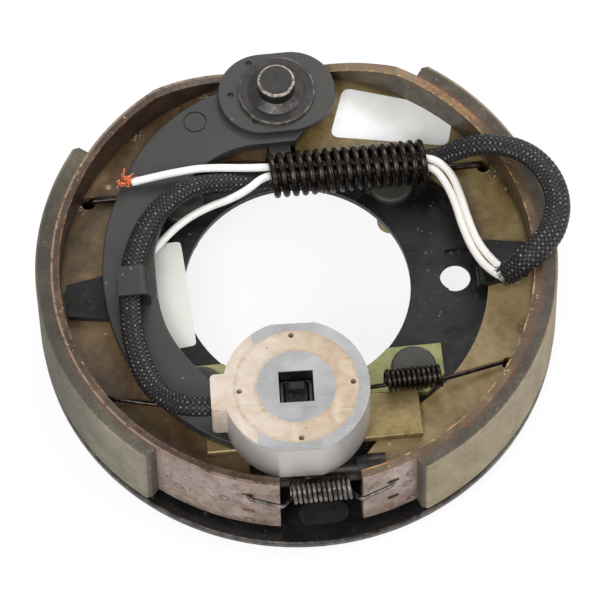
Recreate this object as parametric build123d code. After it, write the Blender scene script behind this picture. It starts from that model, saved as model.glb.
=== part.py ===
"""Electric drum brake for a light trailer axle, 7 in drum, left hand.

The brake lies on its back: +Z points at the drum, +Y at the anchor post.
The origin is the centre of the bore at the mounting face, the back of the
raised middle of the backing plate. All sizes are millimetres.
"""
import os
from math import asin, atan2, cos, degrees, hypot, pi, radians, sin, sqrt, tan

from build123d import *

# Backing plate
PLATE_T = 2.5
PLATE_R = 88.0
PLATE_EDGE_R = 0.9
DISH_DEPTH = 17.8
DISH_RUN = 5.0
DISH_FILLET = 2.6
PLATFORM_R = 70.0
PLATFORM_LOWER_Y = -57.0
ANCHOR_LOBE_R = 11.0
LOBE_BLEND_R = 6.0
BORE_R = 38.6
POCKET_LENGTH = 18.0
POCKET_RUN = 10.0
POCKET_DEPTH = 1.0
POCKET_X = 56.2
POCKET_HOLE_R = 5.2
POCKET_HOLE_Y = -1.5
SLOT_LENGTH = 15.0
SLOT_WIDTH = 5.6
SLOT_X = 1.0
SLOT_Y = -77.0
PLUG_LIP = 1.0
PLUG_LIP_T = 0.8
PLUG_BELOW = 1.2

# Fits and gaps
SLIDE_GAP = 0.3
PIN_CLEARANCE = 0.05
EASY_CLEARANCE = 0.3

# Brake shoes
DRUM_R = 88.9
LINING_DRUM_GAP = 0.6
LINING_T = 5.1
LINING_BEVEL = 1.6
TABLE_T = 3.0
SHOE_WIDTH = 31.75
WEB_T = 3.0
WEB_R = 65.0
WEB_LOW_R = 60.8
TABLE_END_X = 14.0
TABLE_TIP_HALF = 5.4
TAPER_START = 30.0
TAPER_END = 12.0
WEB_TIP_Y = 47.5
WEB_WAIST = (48.0, 38.2)
SHOE_HOLE_X = 68.0
SHOE_HOLE_Y = 38.0
SHOE_HOLE_R = 2.4
HOOK_SLOT_ANGLE = 17.0
HOOK_SLOT_LENGTH = 4.2
HOOK_SLOT_HEIGHT = 2.0
HOOK_SLOT_OFFSET = 6.0
PRIMARY_LINING = (143.0, 230.0)
SECONDARY_LINING = (-67.0, 54.5)
PRIMARY_TIP_X = 5.0
SECONDARY_TIP_X = 3.6

# Hold-down tabs lanced from the plate
TAB_ROOT_X = 61.0
TAB_END_X = 78.2
TAB_ROOT_WIDTH = 17.0
TAB_END_WIDTH = 12.0
TAB_FREE = 0.3

# Anchor post and what it carries
ANCHOR_Y = 69.5
ANCHOR_SHOULDER_R = 8.0
ANCHOR_R = 6.4
ANCHOR_SWAGE_R = 7.5
ANCHOR_SWAGE_T = 1.1
ANCHOR_RECESS = 0.1
ANCHOR_TOP = 23.4
RETAINER_T = 2.0
RETAINER_R = 15.4
RETAINER_OFFSET = 4.8
RETAINER_HOLE_R = 1.2
RETAINER_HOLE_DEPTH = 0.9
WASHER_R = 13.3
WASHER_T = 1.2
WASHER_FLAT_R = 9.6
WASHER_DOME = 1.6

# Mounting studs
STUD_CIRCLE_R = 50.8
STUD_R = 4.76
STUD_SHOULDER_R = 5.2
STUD_HEAD_R = 7.7
STUD_HEAD_T = 2.2
STUD_LENGTH = 25.4

# Guide bracket
BRACKET_T = 2.2
BRACKET_EAR_X = 46.0
BRACKET_EAR_R = 60.2
BRACKET_TOP_Y = -27.3
BRACKET_STEP_Y = -45.0
BRACKET_FRONT_Y = -62.3
BRACKET_HALF = 36.2
BRACKET_BORE_GAP = 0.4

# Lever arm
LEVER_T = 4.0
LEVER_LEAN = -2.46
LEVER_BOSS_R = 9.8
LEVER_END_R = 11.4
LEG_HALF = 3.7
LEG_TOP = 12.5
LEG_REACH = 23.5
LEG_RISE = 1.2
COIN_R = 4.1
COIN_GROOVE = 0.5
COIN_POS = (-28.9, 61.9)

# Lead clip on the lever
CLIP_T = 1.1
CLIP_WIDTH = 11.0
CLIP_X = -50.0
CLIP_Y = -1.2
CLIP_REACH = 10.8

# Magnet
MAGNET_REACH = 123.4
MAGNET_R = 24.5
MAGNET_FLAT = 23.4
MAGNET_H = 20.0
MAGNET_LIFT = 3.0
MAGNET_FLOOR = 3.2
RING_IN_R = 20.6
CORE_R = 13.2
WINDOW_HALF = 6.7
WINDOW_Y = -0.6
EXIT_REACH = 28.5
NOTCH_DEPTH = 1.5
NOTCH_X = -13.9
CLIP_WELL = 11.5
CLIP_WELL_DEPTH = 8.0
SPRING_WELL_R = 11.0
SPRING_WELL_DEPTH = 6.0
COIL_TOP_GAP = 4.0
RESIN_HOLE_R = 0.95
RESIN_HOLE_CIRCLE = 19.0
RESIN_HOLE_DEPTH = 3.0

# Lever post and its clip
POST_SIDE = 8.6
POST_TOP_GAP = 5.0
TANG_HALF = 2.9
TANG_Y = (-0.1, 2.9)
TANG_TOP_GAP = 1.5
GROOVE_DEPTH = 0.9
POST_CLIP_T = 1.1
POST_CLIP_SIDE = 10.4

# Adjuster
ADJUSTER_Y = -70.5
ADJUSTER_R = 4.3
FORK_DEPTH = 6.0
FORK_REACH = 22.8
SCREW_R = 2.6
PILOT_R = 2.4
WHEEL_R = 6.5
WHEEL_T = 3.6
WHEEL_TEETH = 12
WHEEL_TOOTH = 1.3
WHEEL_X = -1.0
THRUST_T = 1.0
NUT_FACE_GAP = 2.0
SCREW_HOLD = 9.5

# Return springs: wire radius, mean coil radius, turns
UPPER_SPRING = (1.15, 6.7, 17)
LOWER_SPRING = (0.75, 3.25, 11)
ADJUSTER_SPRING = (0.7, 3.4, 12)
MAGNET_SPRING = (0.6, 9.9, 4)
LEG_LAP = 0.4
HOOK_BEND = 1.8
UPPER_SPRING_X = (-6.0, 48.4)
UPPER_SPRING_Y = 37.6
UPPER_SPRING_Z = 14.0
LOWER_SPRING_X = (25.6, 44.4)
LOWER_SPRING_Y = -43.4
LOWER_SPRING_Z = 12.6
LOWER_LEG_Z = 7.8
ADJUSTER_SPRING_X = (-10.0, 10.0)
ADJUSTER_SPRING_Y = -80.3
ADJUSTER_SPRING_Z = 10.2

# Lead
SLEEVE_R = 3.2
WIRE_R = 1.35

# Levels worked out from the sizes above
PLATFORM_TOP = PLATE_T
RING_BACK = -DISH_DEPTH
RING_TOP = RING_BACK + PLATE_T
WEB_LOW = PLATFORM_TOP + SLIDE_GAP
WEB_TOP = WEB_LOW + WEB_T
WEB_MID = WEB_LOW + WEB_T / 2
TAB_LOW = WEB_TOP + TAB_FREE
TAB_TOP = TAB_LOW + PLATE_T
LEVER_LOW = TAB_TOP + SLIDE_GAP
LEVER_TOP = LEVER_LOW + LEVER_T
RETAINER_LOW = LEVER_TOP + 0.2
WASHER_LOW = RETAINER_LOW + RETAINER_T
MAGNET_LOW = LEVER_TOP + MAGNET_LIFT
MAGNET_FACE = MAGNET_LOW + MAGNET_H
SHOE_R = DRUM_R - LINING_DRUM_GAP - LINING_T
TABLE_IN_R = SHOE_R - TABLE_T
SHOE_TOP = WEB_MID + SHOE_WIDTH / 2
SHOE_LOW = WEB_MID - SHOE_WIDTH / 2
BRACKET_LOW = WEB_TOP + 0.4
LEAN = radians(LEVER_LEAN)
MAGNET_X = MAGNET_REACH * sin(LEAN)
MAGNET_Y = ANCHOR_Y - MAGNET_REACH * cos(LEAN)
SLOT_ROOT_X = FORK_REACH - FORK_DEPTH
WEB_TONGUE_X = SLOT_ROOT_X + SLIDE_GAP
CLIP_FLOOR = LEVER_TOP + CLIP_T


def disc(radius, low, high, x=0.0, y=0.0):
    """A plain cylinder between two levels."""
    return Pos(x, y, (low + high) / 2) * Cylinder(radius, high - low)


def block(x_from, x_to, y_from, y_to, low, high):
    """A plain box between limits."""
    size = Box(x_to - x_from, y_to - y_from, high - low)
    return Pos((x_from + x_to) / 2, (y_from + y_to) / 2, (low + high) / 2) * size


def rod_x(radius, x_from, x_to, y, z):
    """A round bar that lies along X."""
    bar = Rot(0, 90, 0) * Cylinder(radius, x_to - x_from)
    return Pos((x_from + x_to) / 2, y, z) * bar


def polar(radius, angle):
    """A point of the plan, from its radius and its angle in degrees."""
    return (radius * cos(radians(angle)), radius * sin(radians(angle)))


def sector(r_in, r_out, angle_from, angle_to):
    """A flat ring sector between two angles."""
    middle = (angle_from + angle_to) / 2
    outline = [
        ThreePointArc(polar(r_out, angle_from), polar(r_out, middle), polar(r_out, angle_to)),
        Line(polar(r_out, angle_to), polar(r_in, angle_to)),
        ThreePointArc(polar(r_in, angle_to), polar(r_in, middle), polar(r_in, angle_from)),
        Line(polar(r_in, angle_from), polar(r_out, angle_from)),
    ]
    return make_face(outline)


def raised(face, low, high):
    """A flat outline made solid between two levels."""
    return extrude(Pos(0, 0, low) * face, high - low)


def on_magnet(shape):
    """Moves a shape drawn about the magnet's own axis to its place."""
    return Pos(MAGNET_X, MAGNET_Y, 0) * Rot(0, 0, LEVER_LEAN) * shape


def platform_outline(grow):
    """Outline of the raised middle of the plate, grown by an even margin."""
    lobe_y = ANCHOR_Y - 1.0
    reach = PLATFORM_R + LOBE_BLEND_R
    lobe_reach = ANCHOR_LOBE_R + LOBE_BLEND_R
    blend_y = (reach ** 2 - lobe_reach ** 2 + lobe_y ** 2) / (2 * lobe_y)
    blend_x = sqrt(reach ** 2 - blend_y ** 2)
    corner_reach = PLATFORM_R - LOBE_BLEND_R
    corner_y = PLATFORM_LOWER_Y + LOBE_BLEND_R
    corner_x = sqrt(corner_reach ** 2 - corner_y ** 2)
    main_r = PLATFORM_R + grow
    lobe_r = ANCHOR_LOBE_R + grow
    blend_r = LOBE_BLEND_R - grow
    corner_r = LOBE_BLEND_R + grow
    blend_angle = degrees(atan2(blend_y, blend_x))
    lobe_angle = degrees(atan2(blend_y - lobe_y, blend_x))
    corner_angle = degrees(atan2(corner_y, corner_x))
    half = [
        ((0, lobe_y), lobe_r, 90, lobe_angle),
        ((blend_x, blend_y), blend_r, 180 + lobe_angle, 180 + blend_angle),
        ((0, 0), main_r, blend_angle, corner_angle),
        ((corner_x, corner_y), corner_r, corner_angle, -90),
    ]
    edges = []
    for centre, radius, angle_from, angle_to in half:
        marks = []
        for angle in (angle_from, (angle_from + angle_to) / 2, angle_to):
            dx, dy = polar(radius, angle)
            marks.append((centre[0] + dx, centre[1] + dy))
        edges.append(ThreePointArc(*marks))
        edges.append(ThreePointArc(*[(-x, y) for x, y in marks]))
    low = PLATFORM_LOWER_Y - grow
    edges.append(Line((-corner_x, low), (corner_x, low)))
    return make_face(edges)


def dish(margin, top):
    """The raised middle as a solid with sloping walls, down to the plate's back."""
    run = (top - RING_BACK) * DISH_RUN / DISH_DEPTH
    foot = Pos(0, 0, RING_BACK) * platform_outline(margin + run)
    crown = Pos(0, 0, top) * platform_outline(margin)
    return loft([foot, crown], ruled=True)


def hold_down_tab(side):
    """One tab, bent up from the plate and out over a web."""
    riser = block(TAB_ROOT_X, TAB_ROOT_X + PLATE_T, -20, 20, PLATFORM_TOP - 0.6, TAB_TOP)
    arm = block(TAB_ROOT_X, TAB_END_X, -20, 20, TAB_LOW, TAB_TOP)
    tab = riser + arm
    bend = tab.edges().filter_by(Axis.Y).group_by(Axis.Z)[-1].sort_by(Axis.X)[0]
    tab = fillet(bend, PLATE_T)
    root = TAB_ROOT_WIDTH / 2
    end = TAB_END_WIDTH / 2
    plan = make_face(Polyline((0, -root), (TAB_ROOT_X + PLATE_T, -root), (TAB_END_X, -end),
                              (TAB_END_X, end), (TAB_ROOT_X + PLATE_T, root), (0, root), close=True))
    tab = tab & raised(plan, RING_BACK, TAB_TOP + 1)
    return tab if side > 0 else mirror(tab, Plane.YZ)


def backing_plate():
    """The dished plate with its bore, tabs, pockets, slot and fastener holes."""
    skirt = disc(PLATE_R, RING_BACK, RING_TOP)
    skirt = fillet(skirt.edges().group_by(Axis.Z)[-1], PLATE_EDGE_R)
    outer = dish(0, PLATFORM_TOP)
    outer = fillet(outer.faces().sort_by(Axis.Z)[-1].edges(), DISH_FILLET)
    hollow = dish(-PLATE_T, 0)
    plate = skirt + outer - hollow
    plate -= disc(BORE_R, -1, PLATFORM_TOP + 1)
    plate -= disc(ANCHOR_R + PIN_CLEARANCE, -1, PLATFORM_TOP + 1, 0, ANCHOR_Y)
    plate -= swage(PIN_CLEARANCE, 0)
    for x, y in stud_places():
        plate -= disc(STUD_SHOULDER_R + PIN_CLEARANCE, -1, PLATFORM_TOP + 1, x, y)
    slot = Pos(SLOT_X, SLOT_Y) * SlotOverall(SLOT_LENGTH, SLOT_WIDTH)
    plate -= raised(slot, RING_BACK - 1, RING_TOP + 1)
    for side in (-1, 1):
        pocket = Pos(side * POCKET_X, 0) * RectangleRounded(POCKET_RUN, POCKET_LENGTH, 1.5)
        plate -= raised(pocket, PLATFORM_TOP - POCKET_DEPTH, PLATFORM_TOP + 1)
        plate += hold_down_tab(side)
        plate -= disc(POCKET_HOLE_R, -1, PLATFORM_TOP + 1, side * (POCKET_X - 2.3), POCKET_HOLE_Y)
    return plate


def slot_plug():
    """Rubber plug that closes the adjuster slot, lipped on both sides of the plate."""
    length = SLOT_LENGTH - 2 * EASY_CLEARANCE
    width = SLOT_WIDTH - 2 * EASY_CLEARANCE
    body = raised(SlotOverall(length, width), RING_BACK - PLUG_BELOW, RING_TOP + PLUG_LIP_T)
    upper = SlotOverall(SLOT_LENGTH + 2 * PLUG_LIP, SLOT_WIDTH + 2 * PLUG_LIP)
    body += raised(upper, RING_TOP, RING_TOP + PLUG_LIP_T)
    lower = SlotOverall(SLOT_LENGTH + PLUG_LIP, SLOT_WIDTH + PLUG_LIP)
    body += raised(lower, RING_BACK - PLUG_BELOW, RING_BACK - EASY_CLEARANCE)
    grip = SlotOverall(length / 2, width / 3)
    body += raised(grip, RING_TOP, RING_TOP + 2 * PLUG_LIP_T)
    return Pos(SLOT_X, SLOT_Y, 0) * body


def stud_places():
    """Centres of the four studs, the upper pair first."""
    return [polar(STUD_CIRCLE_R, angle) for angle in (45, 135, 225, 315)]


def mounting_studs():
    """Four pressed-in studs with round heads; the lower pair clamps the bracket."""
    studs = []
    for x, y in stud_places():
        seat = PLATFORM_TOP + (BRACKET_T if y < 0 else 0)
        head = disc(STUD_HEAD_R, seat, seat + STUD_HEAD_T, x, y)
        head = fillet(head.edges().group_by(Axis.Z)[-1], STUD_HEAD_T * 0.6)
        shank = disc(STUD_SHOULDER_R, 0, seat, x, y) + disc(STUD_R, -STUD_LENGTH, 0, x, y)
        shank = chamfer(shank.edges().group_by(Axis.Z)[0], 1.0)
        studs.append(head + shank)
    return Compound(children=studs)


def swage(margin, low):
    """The cone at the post's foot, from a level up to where it meets the shank."""
    slope = (ANCHOR_SWAGE_R - ANCHOR_R) / ANCHOR_SWAGE_T
    foot = ANCHOR_SWAGE_R + margin - slope * low
    cone = Cone(foot, ANCHOR_R + margin, ANCHOR_SWAGE_T - low)
    return Pos(0, ANCHOR_Y, (ANCHOR_SWAGE_T + low) / 2) * cone


def anchor_post():
    """Stepped post, swaged into the plate's back; shoes and lever bear on it."""
    post = disc(ANCHOR_R, ANCHOR_RECESS, PLATFORM_TOP, 0, ANCHOR_Y)
    post += swage(0, ANCHOR_RECESS)
    post += disc(ANCHOR_SHOULDER_R, PLATFORM_TOP, LEVER_LOW, 0, ANCHOR_Y)
    journal = disc(ANCHOR_R, LEVER_LOW, ANCHOR_TOP, 0, ANCHOR_Y)
    journal = chamfer(journal.edges().group_by(Axis.Z)[-1], 0.8)
    return post + journal


def retaining_plate():
    """Oblong plate over the lever, with three small tooling dimples."""
    left = Pos(-RETAINER_OFFSET, ANCHOR_Y) * Circle(RETAINER_R)
    right = Pos(RETAINER_OFFSET, ANCHOR_Y) * Circle(RETAINER_R)
    between = Pos(0, ANCHOR_Y) * Rectangle(2 * RETAINER_OFFSET, 2 * RETAINER_R)
    outline = left + right + between
    plate = raised(outline, RETAINER_LOW, RETAINER_LOW + RETAINER_T)
    plate = fillet(plate.edges().group_by(Axis.Z)[-1], 0.5)
    plate -= disc(ANCHOR_R + PIN_CLEARANCE, RETAINER_LOW - 1, WASHER_LOW + 1, 0, ANCHOR_Y)
    for x, y in ((-15.8, 0.2), (-8.4, 12.0), (-8.2, -10.6)):
        plate -= disc(RETAINER_HOLE_R, WASHER_LOW - RETAINER_HOLE_DEPTH, WASHER_LOW + 1,
                      x, ANCHOR_Y + y)
    return plate


def domed_washer():
    """Push-on washer whose middle rises in a cone to grip the post."""
    low = WASHER_LOW
    top = low + WASHER_T
    inner = ANCHOR_R + PIN_CLEARANCE
    section = Polyline((WASHER_R, low), (WASHER_R, top), (WASHER_FLAT_R, top),
                       (inner, top + WASHER_DOME), (inner, low + WASHER_DOME),
                       (WASHER_FLAT_R, low), close=True)
    profile = make_face(Plane.XZ * section)
    washer = revolve(profile, Axis.Z)
    rims = washer.edges().filter_by(GeomType.CIRCLE)
    rims = rims.filter_by(lambda e: abs(e.radius - WASHER_R) < 0.01)
    washer = fillet(rims.sort_by(Axis.Z)[-1], 0.5)
    return Pos(0, ANCHOR_Y, 0) * washer


def shoe_web(side, tip_x):
    """Flat web of one shoe; side is +1 on the right and -1 on the left."""
    notch_r = ANCHOR_SHOULDER_R + SLIDE_GAP
    notch_low = (tip_x, ANCHOR_Y - sqrt(notch_r ** 2 - tip_x ** 2))
    notch_top = (notch_r * cos(radians(50)), ANCHOR_Y + notch_r * sin(radians(50)))
    table_top = polar(TABLE_IN_R, 90 - TAPER_END)
    table_low = polar(TABLE_IN_R, -90 + degrees(asin((WEB_TONGUE_X + 2.5) / TABLE_IN_R)))
    tongue_low = ADJUSTER_Y - ADJUSTER_R
    tongue_top = ADJUSTER_Y + ADJUSTER_R
    inner_low = polar(WEB_LOW_R, -62.5)
    inner_top = polar(WEB_R, 6.0)
    outline = [
        Line((PRIMARY_TIP_X, WEB_TIP_Y), notch_low),
        ThreePointArc(notch_low, (notch_r, ANCHOR_Y), notch_top),
        Line(notch_top, table_top),
        ThreePointArc(table_top, (TABLE_IN_R, 0), table_low),
        Line(table_low, (WEB_TONGUE_X, tongue_low)),
        Line((WEB_TONGUE_X, tongue_low), (WEB_TONGUE_X, tongue_top)),
        Line((WEB_TONGUE_X, tongue_top), inner_low),
        ThreePointArc(inner_low, polar(WEB_R - 1.0, -28), inner_top),
        ThreePointArc(inner_top, WEB_WAIST, (PRIMARY_TIP_X, WEB_TIP_Y)),
    ]
    web = raised(make_face(outline), WEB_LOW, WEB_TOP)
    for y in (-SHOE_HOLE_Y, SHOE_HOLE_Y):
        web -= disc(SHOE_HOLE_R, WEB_LOW - 1, WEB_TOP + 1, SHOE_HOLE_X, y)
    return web if side > 0 else mirror(web, Plane.YZ)


def shoe_table(side):
    """Curved table of one shoe, narrowed at its upper end, with a pair of slots."""
    low_angle = -90 + degrees(asin(TABLE_END_X / SHOE_R))
    table = raised(sector(TABLE_IN_R, SHOE_R, low_angle, 90 - TAPER_END), SHOE_LOW, SHOE_TOP)
    start = polar(SHOE_R, 90 - TAPER_START)
    end = polar(SHOE_R, 90 - TAPER_END)
    for sign in (-1, 1):
        edge = WEB_MID + sign * SHOE_WIDTH / 2
        tip = WEB_MID + sign * TABLE_TIP_HALF
        beyond = (end[0] - (start[0] - end[0]), tip - (edge - tip))
        wedge = Plane.XZ * Polyline((start[0], edge), beyond, (beyond[0], edge + sign * 2),
                                    (start[0], edge + sign * 2), close=True)
        cut = extrude(make_face(wedge), PLATE_R + 5, dir=(0, 1, 0))
        table -= cut & block(0, PLATE_R, 0, PLATE_R + 5, SHOE_LOW - 5, SHOE_TOP + 5)
    for offset_z in (-HOOK_SLOT_OFFSET, HOOK_SLOT_OFFSET):
        cutter = Box(2 * TABLE_T + 4, HOOK_SLOT_LENGTH, HOOK_SLOT_HEIGHT)
        place = Rot(0, 0, -90 + HOOK_SLOT_ANGLE) * Pos(SHOE_R, 0, WEB_MID + offset_z)
        table -= place * cutter
    return table if side > 0 else mirror(table, Plane.YZ)


def lining(angles):
    """Bonded friction lining over part of a table, bevelled at both ends."""
    body = raised(sector(SHOE_R, SHOE_R + LINING_T, *angles), SHOE_LOW, SHOE_TOP)
    rim = body.edges().filter_by(Axis.Z)
    outer = rim.filter_by(lambda e: hypot(e.center().X, e.center().Y) > SHOE_R + LINING_T / 2)
    return chamfer(outer, LINING_BEVEL)


def lever_arm():
    """Lever from the anchor post round the bore to the magnet, with its cam leg."""
    top = (-LEVER_BOSS_R * 0.344, ANCHOR_Y + LEVER_BOSS_R * 0.939)
    low = polar(LEVER_END_R, -100)
    high = polar(LEVER_END_R, 97)
    end_low = (MAGNET_X + low[0], MAGNET_Y + low[1])
    end_high = (MAGNET_X + high[0], MAGNET_Y + high[1])
    side = (LEVER_BOSS_R, ANCHOR_Y)
    shoulder = (LEVER_BOSS_R * 0.64, ANCHOR_Y + LEVER_BOSS_R * 0.768)
    outline = [
        Line(top, (-26.4, 70.2)),
        ThreePointArc((-26.4, 70.2), (-42.6, 59.4), (-55.4, 40.8)),
        ThreePointArc((-55.4, 40.8), (-65.5, -2.5), (-47.4, -46.7)),
        ThreePointArc((-47.4, -46.7), (-38.4, -55.0), (-27.6, -61.6)),
        Line((-27.6, -61.6), end_low),
        ThreePointArc(end_low, (MAGNET_X + LEVER_END_R, MAGNET_Y), end_high),
        Line(end_high, (-23.0, -44.6)),
        ThreePointArc((-23.0, -44.6), (-28.7, -42.0), (-32.7, -37.4)),
        Spline((-32.7, -37.4), (-39.0, -28.8), (-43.4, -21.2), (-46.4, -12.5), (-47.6, 0.0),
               (-47.4, 14.1)),
        ThreePointArc((-47.4, 14.1), (-40.4, 30.0), (-28.5, 43.9)),
        ThreePointArc((-28.5, 43.9), (-18.4, 49.4), (-7.0, 51.0)),
        Line((-7.0, 51.0), (4.6, 51.0)),
        Line((4.6, 51.0), (9.0, 56.4)),
        Line((9.0, 56.4), side),
        ThreePointArc(side, shoulder, top),
    ]
    lever = raised(make_face(outline), LEVER_LOW, LEVER_TOP)
    lever = fillet(lever.edges().group_by(Axis.Z)[-1], 0.5)
    leg = block(-LEG_HALF, LEG_HALF, ANCHOR_Y - LEG_REACH, ANCHOR_Y - LEG_TOP,
                WEB_LOW, LEVER_LOW + LEG_RISE)
    turn = Pos(0, ANCHOR_Y, 0) * Rot(0, 0, LEVER_LEAN) * Pos(0, -ANCHOR_Y, 0)
    lever += turn * leg
    lever -= disc(ANCHOR_R + PIN_CLEARANCE, WEB_LOW - 1, LEVER_TOP + 1, 0, ANCHOR_Y)
    lever -= disc(ANCHOR_SHOULDER_R + SLIDE_GAP, WEB_LOW - 1, LEVER_LOW, 0, ANCHOR_Y)
    groove = disc(COIN_R, LEVER_TOP - COIN_GROOVE, LEVER_TOP + 1, *COIN_POS)
    groove -= disc(COIN_R - COIN_GROOVE, LEVER_TOP - 1, LEVER_TOP + 1, *COIN_POS)
    lever -= groove
    hole = Box(POST_SIDE + 2 * PIN_CLEARANCE, POST_SIDE + 2 * PIN_CLEARANCE, 3 * LEVER_T)
    lever -= on_magnet(Pos(0, 0, LEVER_LOW) * hole)
    return lever


def lead_clip():
    """Strap on the lever: foot, wall and a top bent over the sleeve."""
    inside = 2 * SLEEVE_R + 0.4
    top = CLIP_FLOOR + inside
    x_end = CLIP_X - CLIP_REACH
    clip = block(x_end, CLIP_X, CLIP_Y - CLIP_WIDTH / 2, CLIP_Y + CLIP_WIDTH / 2,
                 LEVER_TOP, top + CLIP_T)
    bends = clip.edges().filter_by(Axis.Y).sort_by(Axis.X)[-2:]
    clip = fillet(bends.sort_by(Axis.Z)[-1], 3.2)
    hollow = block(x_end - 1, CLIP_X - CLIP_T, CLIP_Y - CLIP_WIDTH, CLIP_Y + CLIP_WIDTH,
                   CLIP_FLOOR, top)
    inner_bend = hollow.edges().filter_by(Axis.Y).sort_by(Axis.X)[-2:]
    hollow = fillet(inner_bend.sort_by(Axis.Z)[-1], 2.1)
    return clip - hollow


def lever_post():
    """Square post through the magnet: a groove for its clip and a narrow tang above."""
    groove_low = MAGNET_FACE - CLIP_WELL_DEPTH + EASY_CLEARANCE
    post = block(-POST_SIDE / 2, POST_SIDE / 2, -POST_SIDE / 2, POST_SIDE / 2,
                 LEVER_LOW, MAGNET_FACE - POST_TOP_GAP)
    post = chamfer(post.edges().group_by(Axis.Z)[-1], 0.8)
    cut = POST_SIDE / 2 - GROOVE_DEPTH
    for side in (-1, 1):
        post -= block(min(side * cut, side * POST_SIDE), max(side * cut, side * POST_SIDE),
                      -POST_SIDE, POST_SIDE, groove_low, groove_low + POST_CLIP_T)
    tang = block(-TANG_HALF, TANG_HALF, *TANG_Y, MAGNET_FACE - POST_TOP_GAP - 1,
                 MAGNET_FACE - TANG_TOP_GAP)
    tang = chamfer(tang.edges().group_by(Axis.Z)[-1], 0.4)
    return on_magnet(post + tang)


def post_clip():
    """Flat fork clip in the post's groove; it stops the magnet coming off."""
    low = MAGNET_FACE - CLIP_WELL_DEPTH + EASY_CLEARANCE
    clip = block(-POST_CLIP_SIDE / 2, POST_CLIP_SIDE / 2, -POST_CLIP_SIDE / 2,
                 POST_CLIP_SIDE / 2, low, low + POST_CLIP_T)
    clip = fillet(clip.edges().filter_by(Axis.Z), 1.0)
    gap = POST_SIDE / 2 - GROOVE_DEPTH
    clip -= block(-gap, gap, -POST_CLIP_SIDE, POST_SIDE / 2, low - 1, low + POST_CLIP_T + 1)
    return on_magnet(clip)


def face_notch(radius):
    """The left rim of the magnet's face that lies outside a radius."""
    rim = block(-MAGNET_R - 1, NOTCH_X, -MAGNET_R, MAGNET_R, MAGNET_FACE - NOTCH_DEPTH, MAGNET_FACE)
    return rim - disc(radius, MAGNET_LOW, MAGNET_FACE + 1)


def magnet_body():
    """Steel cup with a pole core, two flats, a lead window and the post's hole."""
    body = disc(MAGNET_R, MAGNET_LOW, MAGNET_FACE)
    body = body & block(-30, 30, -MAGNET_FLAT, MAGNET_FLAT, MAGNET_LOW, MAGNET_FACE)
    body -= disc(RING_IN_R, MAGNET_LOW + MAGNET_FLOOR, MAGNET_FACE + 1)
    body += disc(CORE_R, MAGNET_LOW + MAGNET_FLOOR, MAGNET_FACE)
    body -= block(-EXIT_REACH, -CORE_R - 2, WINDOW_Y - WINDOW_HALF, WINDOW_Y + WINDOW_HALF,
                  MAGNET_LOW + MAGNET_FLOOR, MAGNET_FACE + 1)
    body -= face_notch(RING_IN_R - 1)
    body -= block(-CLIP_WELL / 2, CLIP_WELL / 2, -CLIP_WELL / 2, CLIP_WELL / 2,
                  MAGNET_FACE - CLIP_WELL_DEPTH, MAGNET_FACE + 1)
    inner = POST_SIDE / 2 + EASY_CLEARANCE
    body -= block(-inner, inner, -inner, inner, MAGNET_LOW - 1, MAGNET_FACE)
    body -= disc(SPRING_WELL_R, MAGNET_LOW - 1, MAGNET_LOW + SPRING_WELL_DEPTH)
    return on_magnet(body)


def magnet_coil():
    """The coil winding, buried under the resin."""
    low = MAGNET_LOW + MAGNET_FLOOR
    coil = disc(RING_IN_R - 0.8, low, MAGNET_FACE - COIL_TOP_GAP)
    coil -= disc(CORE_R + 0.8, low - 1, MAGNET_FACE)
    return on_magnet(coil)


def magnet_resin():
    """Potting resin: the ring on the face, the overflow and the lead exit block."""
    low = MAGNET_LOW + MAGNET_FLOOR
    resin = disc(RING_IN_R, low, MAGNET_FACE) - disc(CORE_R, low - 1, MAGNET_FACE + 1)
    resin -= disc(RING_IN_R - 0.8, low - 1, MAGNET_FACE - COIL_TOP_GAP)
    resin += disc(RING_IN_R, low, MAGNET_FACE) - disc(RING_IN_R - 0.8, low - 1, MAGNET_FACE + 1)
    over = face_notch(RING_IN_R - 0.4) & disc(MAGNET_R, MAGNET_LOW, MAGNET_FACE)
    resin += over & block(-30, 30, -MAGNET_FLAT, MAGNET_FLAT, MAGNET_LOW, MAGNET_FACE)
    exit_block = block(-EXIT_REACH, -RING_IN_R + 1, WINDOW_Y - WINDOW_HALF,
                       WINDOW_Y + WINDOW_HALF, low, MAGNET_FACE)
    edges = exit_block.edges().filter_by(Axis.Z).group_by(Axis.X)[0]
    exit_block = fillet(edges, 1.6)
    resin += exit_block
    resin -= disc(RING_IN_R - 0.8, low - 1, MAGNET_FACE - COIL_TOP_GAP)
    for angle in (0, 90, 180, 270):
        x, y = polar(RESIN_HOLE_CIRCLE, angle + 2)
        resin -= disc(RESIN_HOLE_R, MAGNET_FACE - RESIN_HOLE_DEPTH, MAGNET_FACE + 1, x, y)
    return on_magnet(resin)


def magnet_spring():
    """Conical spring between the lever and the magnet."""
    wire, radius, turns = MAGNET_SPRING
    low = LEVER_TOP + wire
    height = MAGNET_LIFT + SPRING_WELL_DEPTH - 2 * wire - 0.2
    path = Helix(height / turns, height, radius, cone_angle=-4)
    section = Plane(path @ 0, z_dir=path % 0) * Circle(wire)
    spring = sweep(section, path, is_frenet=True)
    return on_magnet(Pos(0, 0, low) * spring)


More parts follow.
